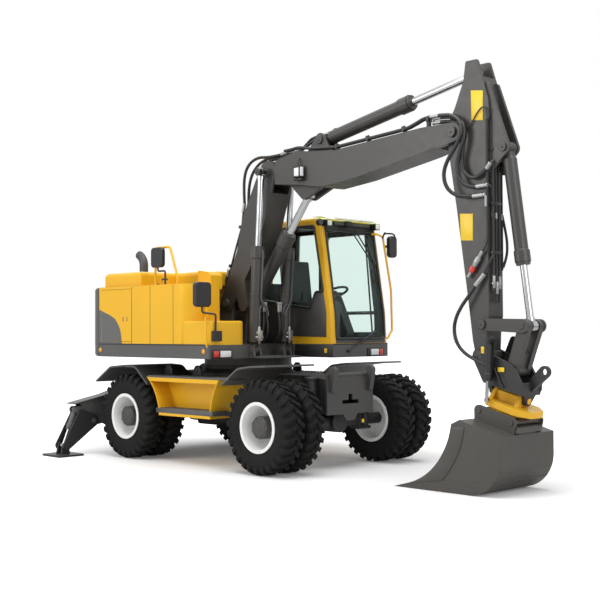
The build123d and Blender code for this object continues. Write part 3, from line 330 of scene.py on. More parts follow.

# %% [markdown]
# ## The cab's two colours, and painted light within
# The cab's frame is one part, yellow outside and dark within. Its finish tells the two
# apart by place: a point some way behind every outer face lies inside. Towards the windscreen
# the left wall's lining turns from nearly black to a paler grey: this is painted light, where
# light would fall on it beside the windscreen's left post.

# %% A yellow frame with a dark lining and painted light
cab_low, cab_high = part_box("cab_shell")
lining_depth = 0.016
lining_front = 0.008
screen_front = 0.020
screen_bend = 1.9
front_lean = 0.1625
dark_lining = (0.020, 0.023, 0.023, 1)
# The paler grey is painted light on the lining beside the windscreen's left post.
painted_light_lining = (0.13, 0.145, 0.14, 1)
painted_light_starts, painted_light_full, painted_light_side = -0.55, -0.36, 0.9


def inside_of(tree, axes):
    """A factor of 1 for points behind the cab's outer faces."""
    leant = maths(tree, "MULTIPLY_ADD", axes["Z"], front_lean, axes["X"])
    factor = maths(tree, "LESS_THAN", leant, screen_front + front_lean * screen_bend - lining_depth)
    for axis, kind, face in (("X", "GREATER_THAN", cab_low[0] + lining_depth),
                             ("X", "LESS_THAN", lining_front),
                             ("Y", "GREATER_THAN", cab_low[1] + lining_depth),
                             ("Y", "LESS_THAN", cab_high[1] - lining_depth),
                             ("Z", "LESS_THAN", cab_high[2] - lining_depth)):
        factor = maths(tree, "MULTIPLY", factor, maths(tree, kind, axes[axis], face))
    return factor


def lined_with_painted_light(look):
    """Turn a finish into one that is dark within the cab, with painted light making it paler beside the
    windscreen.
    """
    tree = look.node_tree
    shader = tree.nodes["Principled BSDF"]
    outer = shader.inputs["Base Color"].links[0].from_socket
    where = add_node(tree, "TexCoord").outputs["Object"]
    axes = add_node(tree, "SeparateXYZ", {0: where}).outputs
    # Painted light: a mask that lightens the left wall's lining towards the windscreen.
    forward = add_node(tree, "MapRange", {"Value": axes["X"], "From Min": painted_light_starts, "From Max": painted_light_full})
    leftward = maths(tree, "GREATER_THAN", axes["Y"], painted_light_side)
    painted_light_mask = maths(tree, "MULTIPLY", forward.outputs[0], leftward)
    inner = mixed(tree, painted_light_mask, dark_lining, painted_light_lining)
    wire(tree, shader, {"Base Color": mixed(tree, inside_of(tree, axes), outer, inner)})
    return look


cab_yellow = lined_with_painted_light(finish("cab enamel", machine_yellow, 0.36, **body_enamel))
print("lining starts", lining_depth, "m behind the cab's faces")

# %% [markdown]
# ## Painting the ready-made parts
# Each part gets its finish by name. Yellow is kept for the body, cab and rotor, the
# working gear and skirts are dark, and only sliding rods are bright.

# %% Paint by part
paint_of = [
    (yellow, "body_shell handrails engine_hood service_door rotor side_lockers"),
    (cab_yellow, "cab_shell cab_door"),
    (boom_grey, "base_boom boom dipper lift_barrels fold_barrel arm_barrel bucket_barrel rocker push_link"),
    (bucket_grey, "bucket"),
    (skirt_grey, "counterweight upper_deck mudguards stabiliser_housing stabiliser_barrel_left"
                 " stabiliser_barrel_right"),
    (plate_grey, "front_plate exhaust"),
    (frame_black, "chassis_frame front_axle rear_axle knuckle_left knuckle_right stabiliser_leg_left"
                  " stabiliser_leg_right stabiliser_pad_left stabiliser_pad_right tilt_frame tilt_barrels"),
    (chrome, "lift_rods fold_rod arm_rod bucket_rod tilt_rod_left tilt_rod_right stabiliser_rod_left"
             " stabiliser_rod_right"),
    (rubber, "tyres_front_left tyres_front_right tyres_rear_left tyres_rear_right"),
    (rim_white, "rims_front_left rims_front_right rims_rear_left rims_rear_right"),
    (black_plastic, "mirrors work_lamps"),
    (cab_dark, "cab_interior"),
    (engine_iron, "engine"),
    (cab_glass, "cab_glass door_glass"),
    (visor_green, "visor"),
]
painted = 0
for look, parts in paint_of:
    for part in parts.split():
        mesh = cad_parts[part].data
        mesh.materials.clear()
        mesh.materials.append(look)
        painted += 1
print("painted", painted, "of", len(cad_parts))

# %% [markdown]
# ## Tools for modelling
# The same few moves make most pieces: add a primitive, shape it in edit mode, round its
# edges, and set its place into the mesh. They are kept as short functions.

# %% Modelling helpers
weld_distance = 0.00005


def pick(piece):
    bpy.ops.object.select_all(action="DESELECT")
    piece.select_set(True)
    bpy.context.view_layer.objects.active = piece


def settle_place(piece):
    pick(piece)
    bpy.ops.object.transform_apply(location=True, rotation=True, scale=True)


def round_off(piece, width, steps=2):
    pick(piece)
    soften = piece.modifiers.new("round edges", "BEVEL")
    soften.width = width
    soften.segments = steps
    soften.limit_method = "ANGLE"
    bpy.ops.object.modifier_apply(modifier=soften.name)


def close_mesh(piece):
    pick(piece)
    bpy.ops.object.mode_set(mode="EDIT")
    bpy.ops.mesh.select_all(action="SELECT")
    bpy.ops.mesh.remove_doubles(threshold=weld_distance)
    bpy.ops.mesh.normals_make_consistent(inside=False)
    bpy.ops.object.mode_set(mode="OBJECT")


def dress(piece, name, body, look, angle=35):
    """Name a piece, smooth it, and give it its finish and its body."""
    piece.name = name
    settle_place(piece)
    piece.data.materials.clear()
    piece.data.materials.append(look)
    bpy.ops.object.shade_smooth_by_angle(angle=radians(angle))
    if body:
        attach(piece, body)
    return piece


def brick(low, high, edge):
    """A box between two corners with rounded edges."""
    low = Vector(low)
    high = Vector(high)
    bpy.ops.mesh.primitive_cube_add(size=1, location=(low + high) / 2)
    piece = bpy.context.object
    piece.scale = high - low
    settle_place(piece)
    round_off(piece, edge)
    return piece


def block(low, high, edge, name, body, look):
    return dress(brick(low, high, edge), name, body, look)


def stud(start, end, radius, edge=0.002, sides=20):
    """A round bar between two points with rounded rims."""
    start = Vector(start)
    end = Vector(end)
    along = end - start
    bpy.ops.mesh.primitive_cylinder_add(vertices=sides, radius=radius, depth=along.length,
                                        location=(start + end) / 2)
    piece = bpy.context.object
    piece.rotation_euler = along.to_track_quat("Z", "Y").to_euler()
    settle_place(piece)
    round_off(piece, edge, 1)
    return piece


def slab(points, depth, edge):
    """A flat shape through corner points, pushed out along `depth`."""
    bpy.ops.mesh.primitive_circle_add(vertices=len(points), fill_type="NGON")
    piece = bpy.context.object
    for vertex, point in zip(piece.data.vertices, points):
        vertex.co = point
    pick(piece)
    bpy.ops.object.mode_set(mode="EDIT")
    bpy.ops.mesh.select_all(action="SELECT")
    bpy.ops.mesh.extrude_region_move(TRANSFORM_OT_translate={"value": depth})
    bpy.ops.mesh.select_all(action="SELECT")
    bpy.ops.mesh.normals_make_consistent(inside=False)
    bpy.ops.object.mode_set(mode="OBJECT")
    if edge:
        round_off(piece, edge)
    return piece


def tube(points, radius):
    """A round tube along a smooth line that starts and ends at its end points."""
    bpy.ops.curve.primitive_nurbs_path_add()
    piece = bpy.context.object
    curve = piece.data
    curve.splines.clear()
    line = curve.splines.new("NURBS")
    line.points.add(len(points) - 1)
    for spot, point in zip(line.points, points):
        spot.co = (*point, 1)
    line.order_u = 3
    line.use_endpoint_u = True
    line.resolution_u = 8
    curve.dimensions = "3D"
    curve.bevel_depth = radius
    curve.bevel_resolution = 3
    curve.use_fill_caps = True
    pick(piece)
    bpy.ops.object.convert(target="MESH")
    return bpy.context.object


bend_ends, bend_middle = 1.6, 0.6


def bent_pipe(points, radius, bend):
    """A steel pipe: straight runs with a tight bend at each corner."""
    route = [Vector(points[0])]
    for before, corner, after in zip(points, points[1:], points[2:]):
        corner = Vector(corner)
        to_back = (Vector(before) - corner).normalized() * bend
        to_front = (Vector(after) - corner).normalized() * bend
        route += [corner + bend_ends * to_back, corner + bend_middle * to_back,
                  corner + bend_middle * to_front, corner + bend_ends * to_front]
    route.append(Vector(points[-1]))
    return tube(route, radius)


def joined(pieces):
    bpy.ops.object.select_all(action="DESELECT")
    for piece in pieces:
        piece.select_set(True)
    bpy.context.view_layer.objects.active = pieces[0]
    bpy.ops.object.join()
    return bpy.context.object


def copy_of(piece, move):
    twin = piece.copy()
    twin.data = piece.data.copy()
    bpy.context.collection.objects.link(twin)
    twin.data.transform(move)
    return twin


def lathe(profile, steps):
    """A ring turned about the Y axis from (radius, y) points, closed on itself."""
    bpy.ops.mesh.primitive_circle_add(vertices=len(profile), fill_type="NOTHING")
    piece = bpy.context.object
    for vertex, (radius, y) in zip(piece.data.vertices, profile):
        vertex.co = (radius, y, 0)
    pick(piece)
    bpy.ops.object.mode_set(mode="EDIT")
    bpy.ops.mesh.select_all(action="SELECT")
    bpy.ops.mesh.spin(steps=steps, angle=tau, center=(0, 0, 0), axis=(0, 1, 0))
    bpy.ops.object.mode_set(mode="OBJECT")
    close_mesh(piece)
    return piece


# %% [markdown]
# ## Tyres
# A traction tyre is a smooth casing with two rows of heavy lugs that meet near the middle
# in a V and run down over the shoulders. The casing is spun from its section. One lug is
# a strip bent over the shoulder, thickened, and copied round both rows.

# %% Tyre sizes from the ready-made tyres
wheel_names = ["front_left", "front_right", "rear_left", "rear_right"]
tyre_low, tyre_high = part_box("tyres_front_left")
tyre_radius = (tyre_high[2] - tyre_low[2]) / 2
pair_width = tyre_high[1] - tyre_low[1]
tyre_width = 0.272
rim_radius = 0.298
twin_shift = (pair_width - tyre_width) / 2
twin_turn = 0.14
lug_count, lug_rounding, foot_flare = 28, 0.0045, 1.12
casing_radius = tyre_radius - 0.028


def casing():
    half = tyre_width / 2
    outside = [
        (rim_radius - 0.020, 0.100), (rim_radius + 0.012, 0.116), (rim_radius + 0.020, 0.124),
        (rim_radius + 0.040, 0.127), (0.400, half - 0.003), (0.435, half - 0.004), (0.470, half - 0.012),
        (casing_radius - 0.022, half - 0.026), (casing_radius - 0.006, half - 0.050), (casing_radius, 0.0),
    ]
    mirrored = [(radius, -y) for radius, y in reversed(outside[:-1])]
    inside = [(rim_radius + 0.03, -0.090), (0.440, -0.110), (0.490, -0.080), (0.490, 0.080), (0.440, 0.110),
              (rim_radius + 0.03, 0.090)]
    return lathe(outside + mirrored + inside, 80)


# Each row: half width, offset from the middle, outer radius, turn round the tyre, and the
# foot's offset and radius
lug_stations = [
    (0.023, 0.003, tyre_radius - 0.0005, -0.082, 0.003, casing_radius - 0.012),
    (0.025, 0.052, tyre_radius - 0.001, -0.030, 0.052, casing_radius - 0.012),
    (0.029, 0.098, tyre_radius - 0.005, 0.020, 0.092, casing_radius - 0.022),
    (0.030, 0.125, tyre_radius - 0.018, 0.042, 0.108, casing_radius - 0.040),
    (0.030, 0.1355, tyre_radius - 0.046, 0.052, 0.116, tyre_radius - 0.080),
    (0.024, 0.1350, tyre_radius - 0.098, 0.058, 0.124, tyre_radius - 0.104),
]


def round_the_tyre(half, y, radius, turned, side):
    angle = turned + half / radius
    return Vector((radius * sin(angle), side * y, radius * cos(angle)))


def lug(side):
    """One lug of one row, at the top of the tyre: an outer strip, its foot, and the walls between."""
    bpy.ops.mesh.primitive_grid_add(x_subdivisions=1, y_subdivisions=len(lug_stations) - 1, size=1)
    piece = bpy.context.object
    foot_of = {}
    for number, vertex in enumerate(piece.data.vertices):
        half, y, radius, turned, foot_y, foot_radius = lug_stations[number // 2]
        half = half if number % 2 else -half
        vertex.co = round_the_tyre(half, y, radius, turned, side)
        foot_of[tuple(vertex.co)] = round_the_tyre(foot_flare * half, foot_y, foot_radius, turned, side)
    pick(piece)
    bpy.ops.object.mode_set(mode="EDIT")
    bpy.ops.mesh.select_all(action="SELECT")
    bpy.ops.mesh.extrude_region_move()
    bpy.ops.object.mode_set(mode="OBJECT")
    for vertex in piece.data.vertices:
        if vertex.select:
            vertex.co = foot_of[tuple(vertex.co)]
    close_mesh(piece)
    round_off(piece, lug_rounding, 1)
    return piece


def one_tyre():
    parts = [casing()]
    step = tau / lug_count
    for side in (-1, 1):
        first = lug(side)
        for number in range(lug_count):
            turned = number * step + (step / 2 if side > 0 else 0)
            parts.append(copy_of(first, Matrix.Rotation(turned, 4, "Y")))
        bpy.data.objects.remove(first)
    return joined(parts)


# %% [markdown]
# ## Twin tyres
# Each wheel carries two tyres side by side. They are two copies of one tyre, joined to one
# piece that turns with the wheel. On the left side the copy is turned round, so that the
# V of its lugs points the same way, and the twin is turned a little about its axle,
# because lugs never stand in line.

# %% Eight tyres on four wheels
pattern_tyre = one_tyre()
for wheel in wheel_names:
    low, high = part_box(f"tyres_{wheel}")
    middle = (Vector(low) + Vector(high)) / 2
    pair = []
    for side in (-1, 1):
        flip = Matrix.Rotation(tau / 2, 4, "Z") if wheel.endswith("left") else Matrix.Identity(4)
        turned = Matrix.Rotation(twin_turn if side > 0 else 0, 4, "Y")
        place = Matrix.Translation(middle + Vector((0, side * twin_shift, 0)))
        pair.append(copy_of(pattern_tyre, place @ flip @ turned))
    both = dress(joined(pair), f"tyre_pair_{wheel}", f"wheel_{wheel}", rubber, 30)
    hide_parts(f"tyres_{wheel}")
bpy.data.objects.remove(pattern_tyre)
print("tyre triangles", sum(len(p.vertices) - 2 for p in both.data.polygons))

# %% [markdown]
# ## Wheel hubs
# Inside each white rim sits a dark hub with a ring of nuts and a domed cap. Nuts are
# six-sided cylinders, copied round the bolt circle.

# %% Hubs and nuts
hub_nuts, nut_circle, nut_radius, nut_sink = 10, 0.162, 0.017, 0.004
cap_bolts, bolt_circle, bolt_radius = 8, 0.116, 0.008
face_out, dish_in = 0.258, 0.084
cap_rings = [(0.133, 0.120), (0.133, 0.244), (0.129, 0.252), (0.112, 0.257), (0.104, 0.257),
             (0.100, 0.262), (0.040, 0.266), (0.036, 0.272), (0.001, 0.273), (0.001, 0.118)]


def ring_of_nuts(middle, out, count, circle, radius, height, edge, offset=0.0):
    """Six-sided nuts round a bolt circle, on the side that `out` points to."""
    nuts = []
    for number in range(count):
        angle = (number + offset) * tau / count
        spot = middle + circle * Vector((cos(angle), 0, sin(angle)))
        nuts.append(stud(spot - nut_sink * out, spot + height * out, radius, edge, 6))
    return nuts


for wheel in wheel_names:
    side = 1 if wheel.endswith("left") else -1
    out = Vector((0, side, 0))
    low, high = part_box(f"tyres_{wheel}")
    centre = (Vector(low) + Vector(high)) / 2
    parts = ring_of_nuts(centre - dish_in * out, out, hub_nuts, nut_circle, nut_radius, 0.030, 0.003)
    cap = lathe([(radius, side * y) for radius, y in cap_rings], 40)
    cap.data.transform(Matrix.Translation(centre))
    parts.append(cap)
    parts += ring_of_nuts(centre + face_out * out, out, cap_bolts, bolt_circle, bolt_radius, 0.010, 0.002, 0.5)
    dress(joined(parts), f"hub_{wheel}", f"wheel_{wheel}", plate_grey)
print("hubs", len(wheel_names))

# %% [markdown]
# ## Hydraulic lines
# Rubber hoses leave steel pipes at crimped fittings, swing over a joint in a loop with
# some slack, and meet pipes again on the far side. A hose is a smooth curve with a round
# section. Where it spans a joint it is given no body.

# %% Fittings and clips
boom_y = -0.280
knuckle_pin = Vector((-0.470, boom_y, 3.655))
hose_radius = 0.019
pipe_radius = 0.013


def hose(route, radius, name, body=None):
    """A rubber hose; one that spans a joint gets no body here."""
    return dress(tube(route, radius), name, body, hose_rubber, 60)


def pipe(route, radius, bend, name, body, look=frame_black):
    """A steel pipe with its paint."""
    return dress(bent_pipe(route, radius, bend), name, body, look, 60)


def at_y(y, run):
    return [(x, y, z) for x, z in run]


def metres(points):
    """How long the straight runs from point to point are in all."""
    runs = zip(points, points[1:])
    return round(sum((Vector(end) - Vector(start)).length for start, end in runs), 2)


def fitting(start, end, body, name, radius=0.022):
    """A crimped sleeve with a hexagon nut at its pipe end."""
    start = Vector(start)
    end = Vector(end)
    along = (end - start).normalized()
    sleeve = stud(start, end, radius, 0.003)
    nut = stud(end - 0.004 * along, end + 0.026 * along, radius * 1.15, 0.003, 6)
    return dress(joined([sleeve, nut]), name, body, zinc)


def clip(place, size, body, name):
    """A bolted pipe clip."""
    place = Vector(place)
    half = Vector(size) / 2
    body_piece = brick(place - half, place + half, 0.004)
    bolt = stud(place + Vector((0, 0, half.z - 0.004)), place + Vector((0, 0, half.z + 0.012)), 0.009,
                0.002, 6)
    return dress(joined([body_piece, bolt]), name, body, black_plastic)


# %% [markdown]
# ## Over the boom's knuckle
# Four hoses arch over the joint between the boom's two pieces. In the plane of the boom
# each is one smooth line from a low sleeve to a high one, and they lie side by side.

# %% Hoses over the boom's knuckle
knee_routes = [
    # y, then (x, z) along the hose from its low sleeve to its high one
    (-0.395, [(-0.952, 3.313), (-0.965, 3.450), (-0.955, 3.684), (-0.862, 3.823), (-0.690, 3.882),
              (-0.511, 3.862), (-0.363, 3.862), (-0.250, 3.868)]),
    (-0.335, [(-0.940, 3.319), (-0.945, 3.480), (-0.884, 3.690), (-0.730, 3.818), (-0.574, 3.858),
              (-0.407, 3.863), (-0.250, 3.868)]),
    (-0.225, [(-0.960, 3.300), (-0.930, 3.480), (-0.830, 3.720), (-0.760, 3.812), (-0.609, 3.860),
              (-0.420, 3.856), (-0.250, 3.868)]),
    (-0.165, [(-0.950, 3.300), (-0.910, 3.480), (-0.820, 3.680), (-0.720, 3.790), (-0.580, 3.840),
              (-0.400, 3.850), (-0.250, 3.860)]),
]
base_line = [(-1.000, 3.030), (-1.103, 2.793), (-1.203, 2.551), (-1.264, 2.384)]
for number, (y, run) in enumerate(knee_routes):
    route = at_y(y, run)
    low, high = Vector(route[0]), Vector(route[-1])
    pipe_top = low - Vector((0.022, 0, 0.085))
    loop = hose(route, hose_radius, f"knee_hose_{number}")
    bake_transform(loop)
    fitting(low, pipe_top, "base_boom", f"knee_low_fitting_{number}")
    fitting(high, high + Vector((0.120, 0, 0.022)), "boom", f"knee_high_fitting_{number}", 0.026)
    pipe([pipe_top] + at_y(y, base_line), pipe_radius, 0.05, f"base_pipe_{number}", "base_boom")
for step, (x, z) in enumerate([(-1.012, 3.015), (-1.215, 2.520)]):
    clip((x, boom_y, z), (0.040, 0.300, 0.040), "base_boom", f"base_clip_{step}")
print("knee hoses", len(knee_routes), "of about", metres(route), "m")

# %% [markdown]
# ## From the deck to the base boom
# Behind the boom's foot three hoses come up from the deck in an S, so that the boom can
# rise and drop. They are tubes along a smooth line from the deck to the boom, and get no body.

# %% Hose loops from the deck to the base boom
for number, (y, reach) in enumerate([(-0.425, 0.0), (-0.355, 0.05), (-0.240, 0.02)]):
    route = [(-1.264, y, 2.384), (-1.285, y, 2.330), (-1.270 + reach, y, 2.240), (-1.180 + reach, y, 2.150),
             (-1.150 + reach, y, 2.060), (-1.220, y, 1.980), (-1.330, y, 1.960), (-1.400, y, 2.000)]
    loop = hose(route, hose_radius, f"deck_hose_{number}")
    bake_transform(loop)
    fitting((-1.264, y, 2.384), (-1.235, y, 2.455), "base_boom", f"deck_fitting_{number}")
print("deck hoses", number + 1, "of about", metres(route), "m")

# %% [markdown]
# ## Pipes along the boom
# Where nothing bends, the lines are steel pipes under clips. A pipe runs straight and
# turns tightly, so its line gets two points close to each corner.

# %% Pipes along the boom's back
boom_back = [(-0.130, 3.892), (-0.020, 3.895), (0.120, 3.908), (0.320, 3.868), (0.740, 3.836), (1.840, 3.910),
             (1.960, 3.945), (2.080, 3.988), (2.204, 3.992)]
for number, y in enumerate([-0.462, -0.427]):
    pipe(at_y(y, boom_back), 0.017, 0.05, f"boom_pipe_{number}", "boom")
for x, z in ((0.760, 3.838), (1.250, 3.872), (1.790, 3.908), (2.140, 3.972)):
    clip((x, -0.444, z), (0.034, 0.072, 0.062), "boom", f"boom_clip_{int(100 * x)}")
block((2.120, -0.465, 3.885), (2.160, -0.425, 3.960), 0.004, "boom_clip_stand", "boom", frame_black)
arm_ram_routes = [
    (-0.250, [(-0.130, 3.880), (-0.020, 3.930), (0.060, 3.985), (0.142, 4.038), (0.280, 4.045),
              (0.417, 4.046)]),
    (-0.310, [(-0.130, 3.880), (0.000, 3.895), (0.090, 3.925), (0.190, 3.975), (0.300, 4.010),
              (0.417, 4.030)]),
]
for number, (y, run) in enumerate(arm_ram_routes):
    route = at_y(y, run)
    hose(route, hose_radius, f"arm_ram_hose_{number}", "boom")
    end = Vector(route[-1])
    fitting(end, end + Vector((0.090, 0, 0.022)), "arm_barrel", f"arm_ram_fitting_{number}")
    elbow = [end + Vector(step) for step in ((0.110, 0, 0.030), (0.180, 0, 0.060), (0.260, 0, 0.050),
                                             (0.285, 0, 0.010))]
    pipe(elbow, 0.011, 0.02, f"arm_ram_pipe_{number}", "arm_barrel")
print("boom pipes of", metres(boom_back), "m")

# %% [markdown]
# ## Hose loops at the boom's nose
# Three hoses leave their sleeves at the boom's end, swing out to the right and come back
# to the dipper, with slack enough for its whole swing. Each is one smooth line through a
# few points from the boom to the dipper, and gets no body.

# %% Loops from boom to dipper
dipper_side = boom_y - 0.125
nose_routes = [
    [(2.290, -0.462, 3.990), (2.371, -0.464, 3.985), (2.470, -0.470, 3.970), (2.590, -0.480, 3.895),
     (2.630, -0.500, 3.769), (2.560, -0.520, 3.613), (2.455, -0.540, 3.470), (2.405, -0.540, 3.334),
     (2.435, -0.530, 3.190), (2.535, -0.500, 3.100), (2.646, -0.470, 3.079), (2.725, -0.450, 3.079)],
    [(2.300, -0.430, 3.970), (2.400, -0.436, 3.965), (2.530, -0.450, 3.930), (2.641, -0.470, 3.845),
     (2.640, -0.480, 3.695), (2.560, -0.490, 3.486), (2.550, -0.490, 3.345), (2.610, -0.480, 3.225),
     (2.706, -0.460, 3.174), (2.771, -0.450, 3.176)],
    [(2.300, -0.432, 3.922), (2.420, -0.436, 3.918), (2.570, -0.442, 3.870), (2.642, -0.450, 3.780),
     (2.605, -0.460, 3.593), (2.585, -0.460, 3.432), (2.641, -0.460, 3.312), (2.740, -0.450, 3.262),
     (2.837, -0.440, 3.306), (2.895, -0.440, 3.350)],
]
nose_ends = [(2.862, -0.444, 3.082), (2.890, -0.444, 3.182), (2.930, -0.440, 3.392)]
for number, (route, end) in enumerate(zip(nose_routes, nose_ends)):
    loop = hose(route, 0.021, f"nose_hose_{number}")
    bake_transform(loop)
    fitting(route[-1], end, "dipper", f"nose_fitting_{number}")
    start = Vector(route[0])
    fitting(start, start - Vector((0.090, 0, -0.002)), "boom", f"nose_start_fitting_{number}", 0.021)
lead = [(2.600, -0.440, 3.800), (2.656, -0.430, 3.818), (2.696, -0.422, 3.856), (2.763, -0.420, 3.954),
        (2.829, -0.420, 4.014), (2.882, -0.424, 4.001), (2.902, -0.424, 3.913), (2.893, -0.424, 3.700)]
hose(lead, 0.007, "dipper_lead", "dipper")
print("nose hoses of about", [metres(route) for route in nose_routes], "m")

# %% [markdown]
# ## Pipes of the dipper
# Five pipes run down the dipper's front, with screwed joints and valves. Straight ones are
# bars with rounded rims, and only the elbows need a bent line.

# %% Pipes down the dipper's front edge
dipper_face = 2.912
dipper_pipes = [
    # radius, y, top z, foot z
    (0.012, -0.424, 3.880, 2.640), (0.015, -0.372, 3.980, 2.080), (0.012, -0.318, 3.900, 1.960),
    (0.012, -0.270, 3.520, 1.960), (0.012, -0.215, 3.400, 2.300),
]
for number, (radius, y, top, foot) in enumerate(dipper_pipes):
    x = dipper_face + radius if y > dipper_side else dipper_face - 0.022
    run = [(x, y, top), (x, y, foot)]
    dress(stud(*run, radius, 0.002, 16), f"dipper_pipe_{number}", "dipper", frame_black)
elbow = [(2.862, -0.444, 3.082), (2.886, -0.444, 3.082), (2.886, -0.444, 3.000), (2.886, -0.444, 2.960)]
pipe(elbow, 0.013, 0.02, "nose_elbow_low", "dipper", zinc)
elbow = [(2.890, -0.444, 3.182), (2.926, -0.430, 3.182), (2.932, -0.390, 3.150), (2.932, -0.372, 3.020)]
pipe(elbow, 0.014, 0.02, "nose_elbow_high", "dipper")
bridge = [(2.930, -0.440, 3.392), (2.945, -0.400, 3.432), (2.950, -0.334, 3.452), (2.950, -0.240, 3.455),
          (2.950, -0.205, 3.430), (2.945, -0.200, 3.300)]
pipe(bridge, 0.015, 0.03, "curl_pipe", "dipper", plate_grey)
for number, (y, z) in enumerate([(-0.372, 2.920), (-0.318, 2.900), (-0.215, 2.890)]):
    fitting((dipper_face + 0.012, y, z), (dipper_face + 0.012, y, z - 0.040), "dipper",
            f"front_fitting_{number}", 0.014)
for z in (3.560, 2.990, 2.480):
    clip((dipper_face + 0.012, -0.318, z), (0.034, 0.150, 0.036), "dipper", f"dipper_clip_{int(100 * z)}")
for number, (y, z) in enumerate([(-0.372, 2.180), (-0.318, 2.120), (-0.270, 2.175)]):
    parts = [stud((2.930, y, z - 0.070), (2.930, y, z + 0.060), 0.018, 0.003, 6),
             stud((2.930, y - 0.026, z - 0.020), (2.930, y + 0.026, z - 0.020), 0.013, 0.003, 6)]
    dress(joined(parts), f"front_valve_{number}", "dipper", zinc)
slack = [(2.926, -0.212, 2.880), (2.940, -0.190, 2.760), (2.952, -0.160, 2.600), (2.950, -0.165, 2.440),
         (2.928, -0.205, 2.330)]
hose(slack, 0.014, "front_slack_hose", "dipper")
print("dipper pipes", len(dipper_pipes))

# %% [markdown]
# ## To the tool
# One wide loop hangs from the dipper to the tool, and a second line ends in a coupling
# with a red ring, which is closed while no other tool is on.

# %% Hose loop down to the tool and the coupling stub
drop = [(2.932, -0.372, 2.470), (2.915, -0.410, 2.400), (2.880, -0.432, 2.320), (2.841, -0.440, 2.239)]
dress(tube(drop, 0.013), "tool_feed", "dipper", frame_black, 60)
loop_points = [(2.755, -0.460, 2.135), (2.673, -0.475, 2.025), (2.590, -0.490, 1.920), (2.525, -0.500, 1.800),
               (2.500, -0.500, 1.670), (2.540, -0.500, 1.530), (2.640, -0.495, 1.430), (2.760, -0.485, 1.370),
               (2.880, -0.470, 1.313)]
loop = hose(loop_points, 0.019, "tool_hose")
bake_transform(loop)
fitting((2.755, -0.460, 2.135), (2.841, -0.440, 2.239), "dipper", "tool_hose_fitting", 0.025)
stub = [(2.890, -0.424, 2.640), (2.886, -0.430, 2.580), (2.862, -0.438, 2.530), (2.837, -0.440, 2.499)]
dress(tube(stub, 0.012), "coupling_feed", "dipper", frame_black, 60)
coupling_top = Vector((2.837, -0.440, 2.499))
coupling_foot = Vector((2.644, -0.440, 2.225))
down = (coupling_foot - coupling_top).normalized()
coupling = [
    stud(coupling_top, coupling_top + 0.10 * down, 0.020),
    stud(coupling_top + 0.08 * down, coupling_top + 0.19 * down, 0.034, 0.004, 6),
    stud(coupling_top + 0.25 * down, coupling_top + 0.33 * down, 0.018, 0.004),
]
dress(joined(coupling), "quick_coupling", "dipper", zinc)
ring = stud(coupling_top + 0.19 * down, coupling_top + 0.26 * down, 0.031, 0.006)
dress(ring, "coupling_ring", "dipper", red_lens)
print("tool hose of about", metres(loop_points), "m")

# %% [markdown]
# ## Lines of the lift rams
# Each lift ram has a cast valve block on its foot and a thin pipe up its barrel. A bundle
# of hoses rises between the two rams.

# %% Lift ram blocks and pipes
lift_foot = Vector((-0.622, boom_y, 1.430))
lift_head = knuckle_pin
lift_along = (lift_head - lift_foot).normalized()
lift_front = Vector((lift_along.z, 0, -lift_along.x))
for side, name in ((-1, "right"), (1, "left")):
    foot = lift_foot + Vector((0, side * 0.260, 0))
    block_place = foot + 0.190 * lift_along + 0.092 * lift_front
    parts = [
        brick(block_place - Vector((0.022, 0.036, 0.066)), block_place + Vector((0.030, 0.036, 0.066)),
              0.005),
        stud(block_place - Vector((0, 0, 0.100)), block_place + Vector((0, 0, 0.112)), 0.020, 0.003, 6),
    ]
    for reach, drop, radius in ((0.064, -0.020, 0.019), (0.052, 0.030, 0.013)):
        parts.append(stud(block_place + Vector((0, -reach, drop)), block_place + Vector((0, reach, drop)),
                          radius, 0.003, 6))
    dress(joined(parts), f"ram_block_{name}", "lift_barrels", zinc)
    start = block_place + Vector((0, 0, 0.110))
    turn_in = -side * 0.055
    run = [start, start + Vector((0.005, 0, 0.230)), start + Vector((0.020, turn_in, 0.290)),
           start + Vector((0.020, 2.1 * turn_in, 0.250)), start + Vector((0.015, 2.1 * turn_in, 0.160))]
    pipe(run, 0.011, 0.022, f"ram_loop_pipe_{name}", "lift_barrels", skirt_grey)
    top = foot + 1.235 * lift_along + 0.098 * lift_front
    low = foot + 0.640 * lift_along + 0.098 * lift_front
    run = [top + 0.03 * lift_along - 0.03 * lift_front, top, low, low + Vector((0.005, turn_in, -0.080)),
           low + Vector((0.010, 2.0 * turn_in, -0.150)), low + Vector((0.010, 2.0 * turn_in, -0.200))]
    pipe(run, 0.011, 0.03, f"ram_pipe_{name}", "lift_barrels", skirt_grey)
    for step in (0.700, 1.180):
        spot = foot + step * lift_along
        band = lathe([(0.075, -0.016), (0.080, -0.014), (0.080, 0.014), (0.075, 0.016), (0.070, 0.0)], 40)
        aim = lift_along.to_track_quat("Y", "X").to_matrix().to_4x4()
        band.data.transform(Matrix.Translation(spot) @ aim)
        dress(band, f"ram_band_{name}_{int(100 * step)}", "lift_barrels", boom_grey)
print("lift rams lean", round(lift_front.z, 3), "m per metre")

# %% [markdown]
# ## The bundle between the rams
# Two pairs of hoses rise beside the rams' inner faces and end in a rail each. The rails
# ride on the barrels, and the hoses, which come from the deck, get no body.

